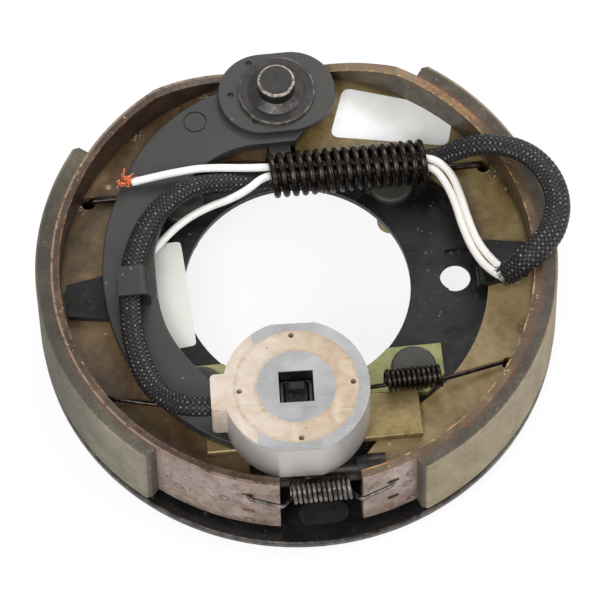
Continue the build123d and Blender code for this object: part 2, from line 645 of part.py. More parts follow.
def guide_bracket():
    """Folded bracket: two ears under the stud heads, a step, a plate over the webs."""
    ears = Pos(0, (BRACKET_TOP_Y + BRACKET_STEP_Y) / 2) * Rectangle(
        2 * BRACKET_EAR_X, BRACKET_TOP_Y - BRACKET_STEP_Y)
    ears = (ears & Circle(BRACKET_EAR_R)) - Circle(BORE_R + BRACKET_BORE_GAP)
    lower = raised(ears, PLATFORM_TOP, PLATFORM_TOP + BRACKET_T)
    riser = block(-BRACKET_HALF, BRACKET_HALF, BRACKET_STEP_Y - BRACKET_T, BRACKET_STEP_Y,
                  PLATFORM_TOP, BRACKET_LOW + BRACKET_T)
    front = block(-BRACKET_HALF, BRACKET_HALF, BRACKET_FRONT_Y, BRACKET_STEP_Y,
                  BRACKET_LOW, BRACKET_LOW + BRACKET_T)
    bracket = lower + riser + front
    top = BRACKET_LOW + BRACKET_T
    bends = bracket.edges().filter_by(Axis.X).filter_by(
        lambda e: abs(e.center().Z - top) < 0.01)
    bracket = fillet(bends, 1.2)
    for x, y in stud_places()[2:]:
        bracket -= disc(STUD_SHOULDER_R + PIN_CLEARANCE, PLATFORM_TOP - 1, top + 1, x, y)
    return bracket


def fork(side):
    """Adjuster end that a web's tongue sits in."""
    inner_x = (WHEEL_X + WHEEL_T / 2 + THRUST_T) if side > 0 else -(WHEEL_X - WHEEL_T / 2)
    face_x = inner_x + (0.1 if side > 0 else NUT_FACE_GAP)
    bar = rod_x(ADJUSTER_R, face_x, FORK_REACH, ADJUSTER_Y, WEB_MID)
    half = WEB_T / 2 + SLIDE_GAP / 2
    bar -= block(SLOT_ROOT_X, FORK_REACH + 1, ADJUSTER_Y - 10, ADJUSTER_Y + 10,
                 WEB_MID - half, WEB_MID + half)
    bore = SCREW_R if side < 0 else PILOT_R
    bar -= rod_x(bore + PIN_CLEARANCE, face_x - 1, face_x + SCREW_HOLD + 0.8, ADJUSTER_Y, WEB_MID)
    return bar if side > 0 else mirror(bar, Plane.YZ)


def adjusting_screw():
    """Threaded rod and pilot with the toothed star wheel between them."""
    low = WHEEL_X - WHEEL_T / 2
    high = WHEEL_X + WHEEL_T / 2
    wheel = rod_x(WHEEL_R, low, high, ADJUSTER_Y, WEB_MID)
    for index in range(WHEEL_TEETH):
        notch = Pos(WHEEL_X, 0, WHEEL_R) * Rot(45, 0, 0) * Box(WHEEL_T + 2, WHEEL_TOOTH, WHEEL_TOOTH)
        wheel -= Pos(0, ADJUSTER_Y, WEB_MID) * Rot(index * 360 / WHEEL_TEETH, 0, 0) * notch
    thread_end = low - NUT_FACE_GAP - SCREW_HOLD
    thread = rod_x(SCREW_R, thread_end, low, ADJUSTER_Y, WEB_MID)
    pilot = rod_x(PILOT_R, high, high + THRUST_T + SCREW_HOLD, ADJUSTER_Y, WEB_MID)
    return wheel + thread + pilot


def thrust_washer():
    """Washer between the star wheel and the socket."""
    low = WHEEL_X + WHEEL_T / 2
    washer = rod_x(ADJUSTER_R, low, low + THRUST_T, ADJUSTER_Y, WEB_MID)
    return washer - rod_x(PILOT_R + PIN_CLEARANCE, low - 1, low + THRUST_T + 1, ADJUSTER_Y, WEB_MID)


def bent_wire(points, radius, bend):
    """A wire along straight runs with round bends."""
    line = FilletPolyline(*points, radius=bend)
    section = Plane(line @ 0, z_dir=line % 0) * Circle(radius)
    return sweep(section, line)


def coil_x(wire, radius, turns, x_from, x_to, y, z):
    """A close coil that lies along X and starts and ends at its underside."""
    length = x_to - x_from
    path = Helix(length / turns, length, radius)
    section = Plane(path @ 0, z_dir=path % 0) * Circle(wire)
    coil = sweep(section, path, is_frenet=True)
    return Pos(x_from, y, z) * Rot(0, 90, 0) * coil


def upper_spring():
    """Large return spring between the upper web holes; the lead runs through it."""
    wire, radius, turns = UPPER_SPRING
    x_from, x_to = UPPER_SPRING_X
    low = UPPER_SPRING_Z - radius
    spring = coil_x(wire, radius, turns, x_from, x_to, UPPER_SPRING_Y, UPPER_SPRING_Z)
    hook_x = SHOE_HOLE_X - SHOE_HOLE_R + wire + 0.1
    for side, start in ((-1, x_from), (1, x_to)):
        ends = [
            (start - side * LEG_LAP, UPPER_SPRING_Y, low),
            (side * hook_x, SHOE_HOLE_Y, low),
            (side * hook_x, SHOE_HOLE_Y, 0.4),
            (side * (hook_x - 3.6), SHOE_HOLE_Y, 0.4),
        ]
        spring += bent_wire(ends, wire, 1.3) + Pos(start, UPPER_SPRING_Y, low) * Sphere(1.02 * wire)
    return spring


def lower_spring():
    """Small return spring with a long leg that passes under lever and magnet."""
    wire, radius, turns = LOWER_SPRING
    x_from, x_to = LOWER_SPRING_X
    low = LOWER_SPRING_Z - radius
    spring = coil_x(wire, radius, turns, x_from, x_to, LOWER_SPRING_Y, LOWER_SPRING_Z)
    hook_x = SHOE_HOLE_X - SHOE_HOLE_R + wire + 0.1
    left = [
        (x_from, LOWER_SPRING_Y, low),
        (x_from - 12.0, LOWER_SPRING_Y + 0.2, LOWER_LEG_Z),
        (-48.9, -42.4, LOWER_LEG_Z),
        (-hook_x, -SHOE_HOLE_Y, LOWER_LEG_Z),
        (-hook_x, -SHOE_HOLE_Y, 0.4),
        (-hook_x + 3.4, -SHOE_HOLE_Y, 0.4),
    ]
    right = [
        (x_to, LOWER_SPRING_Y, low),
        (hook_x, -SHOE_HOLE_Y, WEB_TOP + 1.6),
        (hook_x, -SHOE_HOLE_Y, 0.4),
        (hook_x - 3.4, -SHOE_HOLE_Y, 0.4),
    ]
    for ends in (left, right):
        spring += bent_wire(ends, wire, 1.0) + Pos(*ends[0]) * Sphere(wire)
    return spring


def adjuster_spring():
    """Spring across the gap of the tables, hooked into their upper slots."""
    wire, radius, turns = ADJUSTER_SPRING
    x_from, x_to = ADJUSTER_SPRING_X
    spring = coil_x(wire, radius, turns, x_from, x_to, ADJUSTER_SPRING_Y, ADJUSTER_SPRING_Z)
    turn_x, turn_y = polar(SHOE_R + wire + 0.7, -90 + HOOK_SLOT_ANGLE)
    end_x, end_y = polar(SHOE_R - 5.0, -90 + HOOK_SLOT_ANGLE)
    slot_z = WEB_MID + HOOK_SLOT_OFFSET
    low = ADJUSTER_SPRING_Z - radius
    for side, start in ((-1, x_from), (1, x_to)):
        ends = [
            (start, ADJUSTER_SPRING_Y, low),
            (side * (abs(start) + 3.2), ADJUSTER_SPRING_Y - 3.9, low + 1.4),
            (side * turn_x, turn_y, slot_z),
            (side * end_x, end_y, slot_z),
        ]
        spring += bent_wire(ends, wire, HOOK_BEND) + Pos(*ends[0]) * Sphere(wire)
    return spring


def cord(name, points, radius):
    """A plain tube along a cord's route: straight runs joined by large arcs."""
    vectors = [Vector(*point) for point in points]
    radii = []
    for before, corner, after in zip(vectors, vectors[1:], vectors[2:]):
        turn = radians((corner - before).get_angle(after - corner))
        shorter = min((corner - before).length, (after - corner).length)
        radii.append(0.45 * shorter / tan(turn / 2))
    line = FilletPolyline(*vectors, radius=radii)
    section = Plane(line @ 0, z_dir=line % 0) * Circle(radius)
    tube = sweep(section, line)
    ratio = tube.volume / (pi * radius ** 2 * line.length)
    print(name, "length", round(line.length, 1), "volume ratio", round(ratio, 4),
          "radii", [round(value) for value in radii])
    return tube


def lead_exit(beyond):
    """Point on the sleeve's line as it leaves the magnet's exit block."""
    place = Pos(MAGNET_X, MAGNET_Y, 0) * Rot(0, 0, LEVER_LEAN)
    place *= Pos(-EXIT_REACH - beyond, WINDOW_Y, MAGNET_LOW + MAGNET_H / 2)
    return tuple(place.position)


def midway(before, after):
    """The point half way between two others."""
    return tuple((a + b) / 2 for a, b in zip(before, after))


SLEEVE_ON_LEVER = [
    (-45.4, -49.2, 22.2),
    (-51.4, -42.2, 18.6),
    (-55.3, -33.0, 17.4),
    (-57.3, -21.6, 17.3),
    (-57.5, -9.0, 17.4),
    (-56.0, 3.6, 17.4),
    (-52.8, 14.6, 17.3),
    (-47.0, 24.4, 17.1),
    (-39.2, 31.8, 16.8),
    (-29.4, 36.4, 16.2),
]

SLEEVE_FIXED = [
    (-9.0, 36.9, 12.2),
    (53.4, 39.4, 12.6),
    (58.8, 38.4, 18.4),
    (64.6, 37.0, 23.4),
    (71.8, 35.4, 25.8),
    (81.2, 31.4, 26.3),
    (88.0, 22.8, 26.3),
    (90.5, 11.8, 26.2),
    (88.2, 2.4, 25.8),
    (83.4, -4.2, 25.3),
    (77.6, -7.8, 23.9),
    (74.0, -9.0, 19.8),
    (70.8, -9.0, 15.8),
]

WIRE_A = [
    (69.8, -7.2, 14.4),
    (66.0, -1.8, 13.1),
    (62.4, 5.2, 12.6),
    (60.2, 13.8, 12.5),
    (58.6, 23.6, 13.0),
    (56.2, 32.0, 14.8),
    (50.8, 36.9, 17.1),
    (-12.0, 39.6, 17.3),
]

WIRE_A_ON_LEVER = [
    (-27.4, 41.4, 17.3),
    (-36.0, 41.2, 16.6),
    (-44.6, 40.3, 16.2),
    (-52.6, 39.4, 15.4),
]

WIRE_B = [
    (69.8, -10.9, 14.4),
    (64.2, -7.2, 13.0),
    (60.0, 0.4, 12.5),
    (57.2, 10.8, 12.4),
    (55.8, 22.0, 12.8),
    (53.6, 29.6, 13.4),
    (50.4, 34.6, 15.2),
    (-7.5, 36.1, 17.1),
    (-13.5, 32.0, 16.0),
    (-20.0, 30.6, 12.8),
    (-27.0, 30.2, 10.0),
    (-34.6, 27.8, 7.8),
    (-41.8, 23.2, 6.1),
    (-48.0, 17.0, 5.6),
]

SLEEVE_SPLIT = midway(SLEEVE_ON_LEVER[-1], SLEEVE_FIXED[0])
WIRE_SPLIT = midway(WIRE_A[-1], WIRE_A_ON_LEVER[0])


def build():
    """Every node by its name."""
    on_lever = [lead_exit(0.1), lead_exit(6.0)] + SLEEVE_ON_LEVER + [SLEEVE_SPLIT]
    nodes = {
        "backing_plate": backing_plate(),
        "slot_plug": slot_plug(),
        "mounting_studs": mounting_studs(),
        "anchor_post": anchor_post(),
        "retaining_plate": retaining_plate(),
        "domed_washer": domed_washer(),
        "guide_bracket": guide_bracket(),
        "primary_web": shoe_web(-1, PRIMARY_TIP_X),
        "primary_table": shoe_table(-1),
        "primary_lining": lining(PRIMARY_LINING),
        "secondary_web": shoe_web(1, SECONDARY_TIP_X),
        "secondary_table": shoe_table(1),
        "secondary_lining": lining(SECONDARY_LINING),
        "lever_arm": lever_arm(),
        "lead_clip": lead_clip(),
        "lever_post": lever_post(),
        "post_clip": post_clip(),
        "magnet_body": magnet_body(),
        "magnet_coil": magnet_coil(),
        "magnet_resin": magnet_resin(),
        "magnet_spring": magnet_spring(),
        "adjusting_nut": fork(-1),
        "adjusting_screw": adjusting_screw(),
        "thrust_washer": thrust_washer(),
        "adjuster_socket": fork(1),
        "upper_return_spring": upper_spring(),
        "lower_return_spring": lower_spring(),
        "adjuster_spring": adjuster_spring(),
        "lead_sleeve_on_lever": cord("sleeve on lever", on_lever, SLEEVE_R),
        "lead_sleeve": cord("sleeve", [SLEEVE_SPLIT] + SLEEVE_FIXED, SLEEVE_R),
        "lead_wire_a": cord("wire a", WIRE_A + [WIRE_SPLIT], WIRE_R),
        "lead_wire_a_on_lever": cord("wire a on lever", [WIRE_SPLIT] + WIRE_A_ON_LEVER, WIRE_R),
        "lead_wire_b": cord("wire b", WIRE_B, WIRE_R),
    }
    return nodes


os.makedirs("parts", exist_ok=True)
for node_name, solid in build().items():
    export_step(solid, "parts/" + node_name + ".step")
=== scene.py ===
"""Dresses the electric trailer brake: materials, cords, springs, stickers, lights and camera."""
import math
import random

import bmesh
import bpy
import numpy as np
from mathutils import Matrix, Vector


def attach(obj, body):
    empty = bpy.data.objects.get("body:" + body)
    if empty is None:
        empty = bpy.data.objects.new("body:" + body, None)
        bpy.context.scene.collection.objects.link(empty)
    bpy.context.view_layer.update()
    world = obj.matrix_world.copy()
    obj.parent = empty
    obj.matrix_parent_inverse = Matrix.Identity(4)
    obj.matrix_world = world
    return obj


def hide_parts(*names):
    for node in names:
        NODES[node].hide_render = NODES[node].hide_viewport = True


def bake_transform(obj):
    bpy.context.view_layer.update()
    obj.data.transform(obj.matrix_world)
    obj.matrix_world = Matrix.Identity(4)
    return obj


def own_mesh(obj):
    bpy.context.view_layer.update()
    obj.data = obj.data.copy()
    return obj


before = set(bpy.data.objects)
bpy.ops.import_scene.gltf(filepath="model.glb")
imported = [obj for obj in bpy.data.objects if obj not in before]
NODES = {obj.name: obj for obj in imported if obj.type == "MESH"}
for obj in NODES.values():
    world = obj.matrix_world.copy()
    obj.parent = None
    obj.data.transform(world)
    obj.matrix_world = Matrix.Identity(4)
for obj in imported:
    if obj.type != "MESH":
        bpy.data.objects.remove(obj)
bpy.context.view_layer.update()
MM = 0.001

# Places of the CAD model that the looks and the pieces below follow, in millimetres

ANCHOR_AXIS = (0, 69.5)
ANCHOR_TOP = 23.4
MAGNET_AXIS = (-5.3, -53.8)
MAGNET_FACE = 35.9
PLATE_RADIUS = 88.0
PLATE_TOP = 2.5
WEB_TOP = 5.8
TABLE_IN = 80.2
TABLE_OUT = 83.2
LINING_OUT = 88.3


def add_object(name, data):
    """A new object with that data, in the scene."""
    thing = bpy.data.objects.new(name, data)
    bpy.context.scene.collection.objects.link(thing)
    return thing


# Camera at the photograph's angle

TARGET = Vector((0.67, -2.22, -2.8)) * MM
AZIMUTH = math.radians(-4.4)
ELEVATION = math.radians(62.89)
CAMERA_REACH = 2.0408
ROLL = 0.0271
LENS = 359.3
SENSOR = 36
FARTHEST_SEEN = 20


def aim_camera():
    """A long lens, tilted and very slightly rolled."""
    level = Vector((math.sin(AZIMUTH), -math.cos(AZIMUTH), 0)) * math.cos(ELEVATION)
    place = TARGET + (level + Vector((0, 0, math.sin(ELEVATION)))) * CAMERA_REACH
    forward = (TARGET - place).normalized()
    right = forward.cross(Vector((0, 0, 1))).normalized()
    up = right.cross(forward)
    tilted_right = (right - ROLL * up).normalized()
    tilted_up = (ROLL * right + up).normalized()
    turn = Matrix((tilted_right, tilted_up, -forward)).transposed().to_4x4()
    data = bpy.data.cameras.new("camera")
    data.lens = LENS
    data.sensor_width = SENSOR
    data.sensor_fit = "HORIZONTAL"
    data.clip_end = FARTHEST_SEEN
    camera = add_object("camera", data)
    camera.matrix_world = Matrix.Translation(place) @ turn
    bpy.context.scene.camera = camera


aim_camera()


# Shader helpers: lengths in the textures are millimetres, and colours are screen values 0..255

def tone(red, green, blue):
    """A screen colour as the shader wants it."""
    out = []
    for value in (red, green, blue):
        value /= 255
        out.append(value / 12.92 if value <= 0.04045 else ((value + 0.055) / 1.055) ** 2.4)
    return (*out, 1.0)


class Shader:
    """A principled material built up from small procedural steps."""

    def __init__(self, name, metallic=0.0, roughness=0.5, **sockets):
        self.mat = bpy.data.materials.new(name)
        self.mat.use_nodes = True
        self.nodes = self.mat.node_tree.nodes
        self.links = self.mat.node_tree.links
        self.bsdf = self.nodes["Principled BSDF"]
        self.bsdf.inputs["Metallic"].default_value = metallic
        self.bsdf.inputs["Roughness"].default_value = roughness
        for key, value in sockets.items():
            self.bsdf.inputs[key.replace("_", " ")].default_value = value
        self.relief = None
        coords = self.nodes.new("ShaderNodeTexCoord")
        scale = self.nodes.new("ShaderNodeVectorMath")
        scale.operation = "SCALE"
        scale.inputs["Scale"].default_value = 1 / MM
        self.links.new(coords.outputs["Object"], scale.inputs[0])
        self.place = scale.outputs[0]
        split = self.nodes.new("ShaderNodeSeparateXYZ")
        self.links.new(self.place, split.inputs[0])
        self.x, self.y, self.z = split.outputs

    def put(self, socket, value):
        """Sets a socket from a number, a colour or another node's output."""
        if isinstance(value, bpy.types.NodeSocket):
            self.links.new(value, socket)
        else:
            socket.default_value = value

    def stretch(self, x, y, z, turn=0.0):
        """The place, scaled along each axis and turned about Z."""
        mapping = self.nodes.new("ShaderNodeMapping")
        self.links.new(self.place, mapping.inputs["Vector"])
        mapping.inputs["Scale"].default_value = (x, y, z)
        mapping.inputs["Rotation"].default_value = (0, 0, math.radians(turn))
        return mapping.outputs[0]

    def calc(self, operation, a, b=0.0):
        """One step of arithmetic."""
        node = self.nodes.new("ShaderNodeMath")
        node.operation = operation
        self.put(node.inputs[0], a)
        self.put(node.inputs[1], b)
        return node.outputs[0]

    def radius(self, x=0.0, y=0.0):
        """Distance from an upright axis, in millimetres."""
        dx = self.calc("SUBTRACT", self.x, x)
        dy = self.calc("SUBTRACT", self.y, y)
        squares = self.calc("ADD", self.calc("MULTIPLY", dx, dx), self.calc("MULTIPLY", dy, dy))
        return self.calc("SQRT", squares)

    def noise(self, size, detail=3.0, rough=0.55, warp=0.0, vector=None):
        """Cloudy noise whose patches are about size millimetres."""
        node = self.nodes.new("ShaderNodeTexNoise")
        self.links.new(vector or self.place, node.inputs["Vector"])
        node.inputs["Scale"].default_value = 1.0 / size
        node.inputs["Detail"].default_value = detail
        node.inputs["Roughness"].default_value = rough
        node.inputs["Distortion"].default_value = warp
        return node.outputs["Fac"]

    def cells(self, size):
        """Distance to the nearest of many scattered points, which are about size millimetres apart."""
        node = self.nodes.new("ShaderNodeTexVoronoi")
        self.links.new(self.place, node.inputs["Vector"])
        node.inputs["Scale"].default_value = 1.0 / size
        return node.outputs["Distance"]

    def ramp(self, value, *stops):
        """Colour ramp whose stops are (place, red, green, blue)."""
        node = self.nodes.new("ShaderNodeValToRGB")
        self.put(node.inputs[0], value)
        elements = node.color_ramp.elements
        while len(elements) < len(stops):
            elements.new(0.5)
        for element, (where, *colour) in zip(elements, stops):
            element.position = where
            element.color = tone(*colour)
        return node.outputs[0]

    def span(self, value, low, high, to_low=0.0, to_high=1.0):
        """Maps one range smoothly onto another, held at both ends."""
        node = self.nodes.new("ShaderNodeMapRange")
        node.interpolation_type = "SMOOTHSTEP"
        self.put(node.inputs["Value"], value)
        for key, number in (("From Min", low), ("From Max", high),
                            ("To Min", to_low), ("To Max", to_high)):
            node.inputs[key].default_value = number
        return node.outputs[0]

    def mix(self, share, a, b):
        """The first colour, and the second where the share is 1."""
        node = self.nodes.new("ShaderNodeMix")
        node.data_type = "RGBA"
        node.clamp_factor = True
        self.put(node.inputs["Factor"], share)
        first, second = [s for s in node.inputs if s.type == "RGBA"]
        self.put(first, a)
        self.put(second, b)
        return [s for s in node.outputs if s.type == "RGBA"][0]

    def tint(self, base, mask, strength, *colour):
        """The base with a colour laid over it where the mask is set."""
        return self.mix(self.both(mask, strength), base, tone(*colour))

    def near(self, spots, size, soft):
        """1 within size millimetres of any of some points, 0 beyond, with a soft border."""
        found = None
        for spot in spots:
            node = self.nodes.new("ShaderNodeVectorMath")
            node.operation = "DISTANCE"
            self.links.new(self.place, node.inputs[0])
            node.inputs[1].default_value = spot
            mask = self.span(node.outputs["Value"], size + soft, size - soft)
            found = mask if found is None else self.calc("MAXIMUM", found, mask)
        return found

    def both(self, a, b):
        """Where both masks are set, or one mask at part of its strength."""
        return self.calc("MULTIPLY", a, b)

    def colour(self, value):
        self.put(self.bsdf.inputs["Base Color"], value)

    def rough(self, value):
        self.put(self.bsdf.inputs["Roughness"], value)

    def metal(self, value):
        self.put(self.bsdf.inputs["Metallic"], value)

    def bump(self, height, depth, strength):
        """Adds a relief of that depth in millimetres."""
        node = self.nodes.new("ShaderNodeBump")
        node.inputs["Strength"].default_value = strength
        node.inputs["Distance"].default_value = depth * MM
        self.put(node.inputs["Height"], height)
        if self.relief is not None:
            self.links.new(self.relief, node.inputs["Normal"])
        self.relief = node.outputs[0]
        self.links.new(self.relief, self.bsdf.inputs["Normal"])

    def specks(self, size, amount):
        """Scattered small dots: 1 in a dot, 0 outside."""
        some = self.noise(size * 2.7, 1.0)
        limit = self.span(some, 0.55 - amount * 0.25, 0.8, 0.0, 0.34)
        return self.calc("LESS_THAN", self.cells(size), limit)

    def scratches(self, turn, length, width, amount):
        """Fine scratches along one direction of the plan."""
        along = self.stretch(1 / length, 1 / width, 1 / length, turn)
        lines = self.noise(1.0, 1.0, 0.4, 0.1, along)
        return self.span(lines, 0.74 - amount * 0.14, 0.8 - amount * 0.1)


# Materials

# Spot welds that show as marks

PRIMARY_WELDS = [(-49.2, 62.6, 6), (-71.0, 36.2, 6), (-79.2, 2.3, 6), (-24.0, 76.0, 6)]
SECONDARY_WELDS = [(71.0, 35.2, 6), (74.8, -25.4, 6)]
TABLE_WELDS = [(-32.1, -76.8, 3.7), (-24.2, -79.6, -9.4), (30.4, -77.5, 10.6), (29.4, -77.8, 3.8),
               (30.8, -77.3, -8.7), (-46.9, -68.7, -0.5)]


def enamel_black():
    """Glossy black enamel, dusty and scuffed, with a painted highlight that makes the skirt greyer,
    and worn along the rim.
    """
    s = Shader("enamel_black", roughness=0.3, Specular_IOR_Level=0.36)
    cloud = s.noise(16, 4, 0.6, 0.6)
    base = s.ramp(cloud, (0.3, 15, 14, 14), (0.55, 22, 21, 21), (0.75, 32, 30, 29))
    # painted highlight: the skirt round the plate's edge is made greyer, for the light it catches
    skirt = s.span(s.radius(), PLATE_RADIUS - 0.8, PLATE_RADIUS + 0.4)
    base = s.tint(base, skirt, 0.8, 64, 61, 59)
    dust = s.noise(0.5, 2, 0.7)
    base = s.mix(s.span(dust, 0.62, 0.75, 0, 0.4), base, tone(56, 53, 50))
    rim = s.span(s.radius(), PLATE_RADIUS - 1.4, PLATE_RADIUS - 0.3)
    worn = s.both(rim, s.span(s.noise(3.5, 4, 0.65), 0.38, 0.62))
    base = s.tint(base, worn, 0.8, 92, 85, 78)
    wiped = s.span(s.noise(9, 4, 0.62, 1.4), 0.56, 0.68, 0, 0.45)
    base = s.mix(wiped, base, tone(50, 44, 38))
    marks = s.specks(1.9, 0.3)
    base = s.tint(base, marks, 0.5, 104, 98, 90)
    scuffs = s.scratches(38, 9, 0.14, 0.3)
    base = s.tint(base, scuffs, 0.3, 104, 102, 98)
    s.colour(base)
    s.rough(s.span(cloud, 0.3, 0.7, 0.2, 0.4))
    s.bump(s.noise(1.1, 3, 0.5), 0.03, 0.6)
    s.bump(s.noise(7, 2, 0.5), 0.12, 0.5)
    return s.mat


def lever_grey(name, dark=0, warm=0):
    """Dull grey finish with pale specks and fine scratches, made darker or warmer."""
    s = Shader(name, roughness=0.5)
    cloud = s.noise(20, 4, 0.6, 0.4)
    base = s.ramp(cloud, (0.3, 43 - dark + warm, 43 - dark, 42 - dark - warm),
                  (0.55, 50 - dark + warm, 50 - dark, 49 - dark - warm),
                  (0.75, 59 - dark + warm, 58 - dark, 57 - dark - warm))
    base = s.mix(s.span(s.noise(0.35, 2, 0.7), 0.6, 0.78, 0, 0.35), base, tone(84, 82, 79))
    marks = s.specks(3.0, 0.16)
    base = s.tint(base, marks, 0.6, 124, 119, 110)
    scuffs = s.scratches(-24, 6, 0.12, 0.25)
    base = s.tint(base, scuffs, 0.25, 108, 105, 100)
    s.colour(base)
    s.rough(s.span(cloud, 0.3, 0.7, 0.4, 0.58))
    s.bump(s.noise(0.5, 3, 0.6), 0.02, 0.7)
    s.bump(s.noise(5, 2, 0.5), 0.06, 0.5)
    return s.mat


def shoe_coat(name, tones, rust, patch, welds):
    """Thin varnish-like coat over hot-rolled steel, cloudy and speckled, with marks at the welds, and
    painted shade where the web meets the table.
    """
    s = Shader(name, roughness=0.42)
    broad = s.noise(26, 4, 0.62, 0.9)
    fine = s.noise(2.4, 4, 0.66, 0.3)
    cloud = s.calc("ADD", s.both(broad, 0.72), s.both(fine, 0.28))
    base = s.ramp(cloud, (0.36, *tones[0]), (0.5, *tones[1]), (0.64, *tones[2]))
    spot = s.span(s.noise(9, 3, 0.6, 1.2), 0.6, 0.7)
    base = s.tint(base, spot, patch, *rust)
    # painted shade: the web darker next to the table's inner wall, in the corner between them
    rim = s.span(s.radius(), TABLE_IN - 1.8, TABLE_IN + 0.1)
    base = s.tint(base, rim, 0.55, 40, 30, 20)
    grit = s.noise(0.42, 2, 0.75)
    base = s.mix(s.span(grit, 0.6, 0.78, 0, 0.45), base, tone(*tones[2]))
    shadow = [value * 0.55 for value in tones[0]]
    base = s.mix(s.span(grit, 0.4, 0.22, 0, 0.5), base, tone(*shadow))
    nicks = s.specks(4.2, 0.2)
    base = s.tint(base, nicks, 0.6, 176, 166, 140)
    around = s.near(welds, 2.9, 0.8)
    base = s.tint(base, around, 0.4, 44, 34, 24)
    spatter = s.both(s.near(welds, 2.2, 0.9), s.span(s.noise(1.3, 4, 0.8, 1.0), 0.5, 0.6))
    base = s.mix(spatter, base, tone(186, 174, 140))
    s.colour(base)
    s.rough(s.span(broad, 0.3, 0.7, 0.34, 0.52))
    s.bump(fine, 0.05, 0.6)
    s.bump(grit, 0.015, 0.6)
    s.bump(spatter, 0.3, 0.7)
    return s.mat


def table_coat():
    """Shoe table: dark glossy inside, worn edge, pinkish brown outside with weld marks."""
    s = Shader("table_coat", roughness=0.4)
    radius = s.radius()
    broad = s.noise(14, 4, 0.62, 0.8)
    fine = s.noise(1.5, 4, 0.7, 0.3)
    right = s.span(s.x, -20, 30)
    inner_left = s.ramp(broad, (0.3, 34, 25, 19), (0.52, 52, 39, 29), (0.72, 76, 58, 43))
    inner_right = s.ramp(broad, (0.3, 46, 38, 26), (0.52, 78, 66, 48), (0.72, 108, 94, 72))
    inner = s.mix(right, inner_left, inner_right)
    outer = s.ramp(broad, (0.3, 106, 85, 75), (0.5, 137, 118, 108), (0.7, 164, 147, 138))
    outer = s.mix(s.span(fine, 0.54, 0.7, 0, 0.6), outer, tone(104, 76, 60))
    stain = s.span(s.noise(5, 4, 0.68, 1.0), 0.53, 0.64)
    outer = s.tint(outer, stain, 0.6, 88, 60, 48)
    # the outer face darker towards its bottom, in patches
    darkening = s.both(s.span(s.z, -4, -13), s.span(s.noise(6, 4, 0.65, 0.6), 0.4, 0.6))
    outer = s.tint(outer, darkening, 0.6, 72, 56, 50)
    mark = s.near(TABLE_WELDS, 1.7, 0.5)
    core = s.near(TABLE_WELDS, 0.8, 0.4)
    outer = s.tint(outer, mark, 0.7, 92, 66, 58)
    outer = s.tint(outer, core, 0.6, 168, 146, 134)
    outside = s.span(radius, TABLE_OUT - 2.2, TABLE_OUT - 0.6)
    base = s.mix(outside, inner, outer)
    edge_left = s.ramp(broad, (0.32, 44, 32, 24), (0.5, 62, 47, 36), (0.7, 90, 71, 56))
    edge_right = s.ramp(broad, (0.32, 60, 46, 33), (0.5, 84, 67, 49), (0.7, 116, 96, 70))
    edge = s.mix(right, edge_left, edge_right)
    taper = s.both(s.span(s.y, 58, 70), right)
    edge = s.tint(edge, taper, 0.75, 138, 118, 96)
    outer_line = s.both(s.span(radius, TABLE_OUT - 1.0, TABLE_OUT - 0.6),
                        s.span(s.noise(3.0, 4, 0.65, 0.4), 0.36, 0.52))
    outer_line = s.both(outer_line, s.span(s.x, 0, -20))
    edge = s.tint(edge, outer_line, 0.8, 152, 132, 112)
    gritty = s.both(s.both(s.span(s.y, 46, 50), s.span(s.y, 68, 62)), right)
    gritty = s.both(gritty, s.span(s.noise(0.9, 3, 0.8), 0.44, 0.56))
    edge = s.tint(edge, gritty, 0.75, 158, 112, 58)
    edge = s.mix(s.span(fine, 0.52, 0.68, 0, 0.5), edge, tone(58, 42, 30))
    rust = s.span(s.noise(1.6, 4, 0.72, 0.6), 0.56, 0.64)
    edge = s.tint(edge, rust, 0.4, 128, 84, 52)
    bright = s.specks(1.3, 0.35)
    edge = s.tint(edge, bright, 0.6, 196, 170, 128)
    lip = s.both(s.span(radius, TABLE_IN + 0.7, TABLE_IN + 0.3),
                 s.span(s.noise(4.0, 4, 0.65), 0.46, 0.6))
    lip = s.both(lip, right)
    edge = s.tint(edge, lip, 0.75, 190, 150, 92)
    seam = s.both(s.span(radius, TABLE_OUT - 0.5, TABLE_OUT - 0.1),
                  s.span(s.noise(3.0, 4, 0.65), 0.36, 0.56))
    edge = s.tint(edge, seam, 0.6, 98, 62, 38)
    surface = s.nodes.new("ShaderNodeNewGeometry")
    normal = s.nodes.new("ShaderNodeSeparateXYZ")
    s.links.new(surface.outputs["True Normal"], normal.inputs[0])
    flat = s.span(s.calc("ABSOLUTE", normal.outputs["Z"]), 0.4, 0.7)
    base = s.mix(flat, base, edge)
    band = s.both(s.span(s.z, 18.2, 20.0), s.span(radius, TABLE_IN + 0.8, TABLE_IN + 0.4))
    band = s.both(band, s.span(s.noise(2.2, 4, 0.7), 0.48, 0.62, 0, 0.6))
    base = s.mix(band, base, tone(134, 84, 46))
    s.colour(base)
    s.rough(s.span(fine, 0.3, 0.7, 0.32, 0.54))
    s.bump(fine, 0.09, 0.7)
    s.bump(s.noise(0.4, 2, 0.7), 0.02, 0.6)
    s.bump(s.both(mark, outside), -0.35, 0.8)
    return s.mat


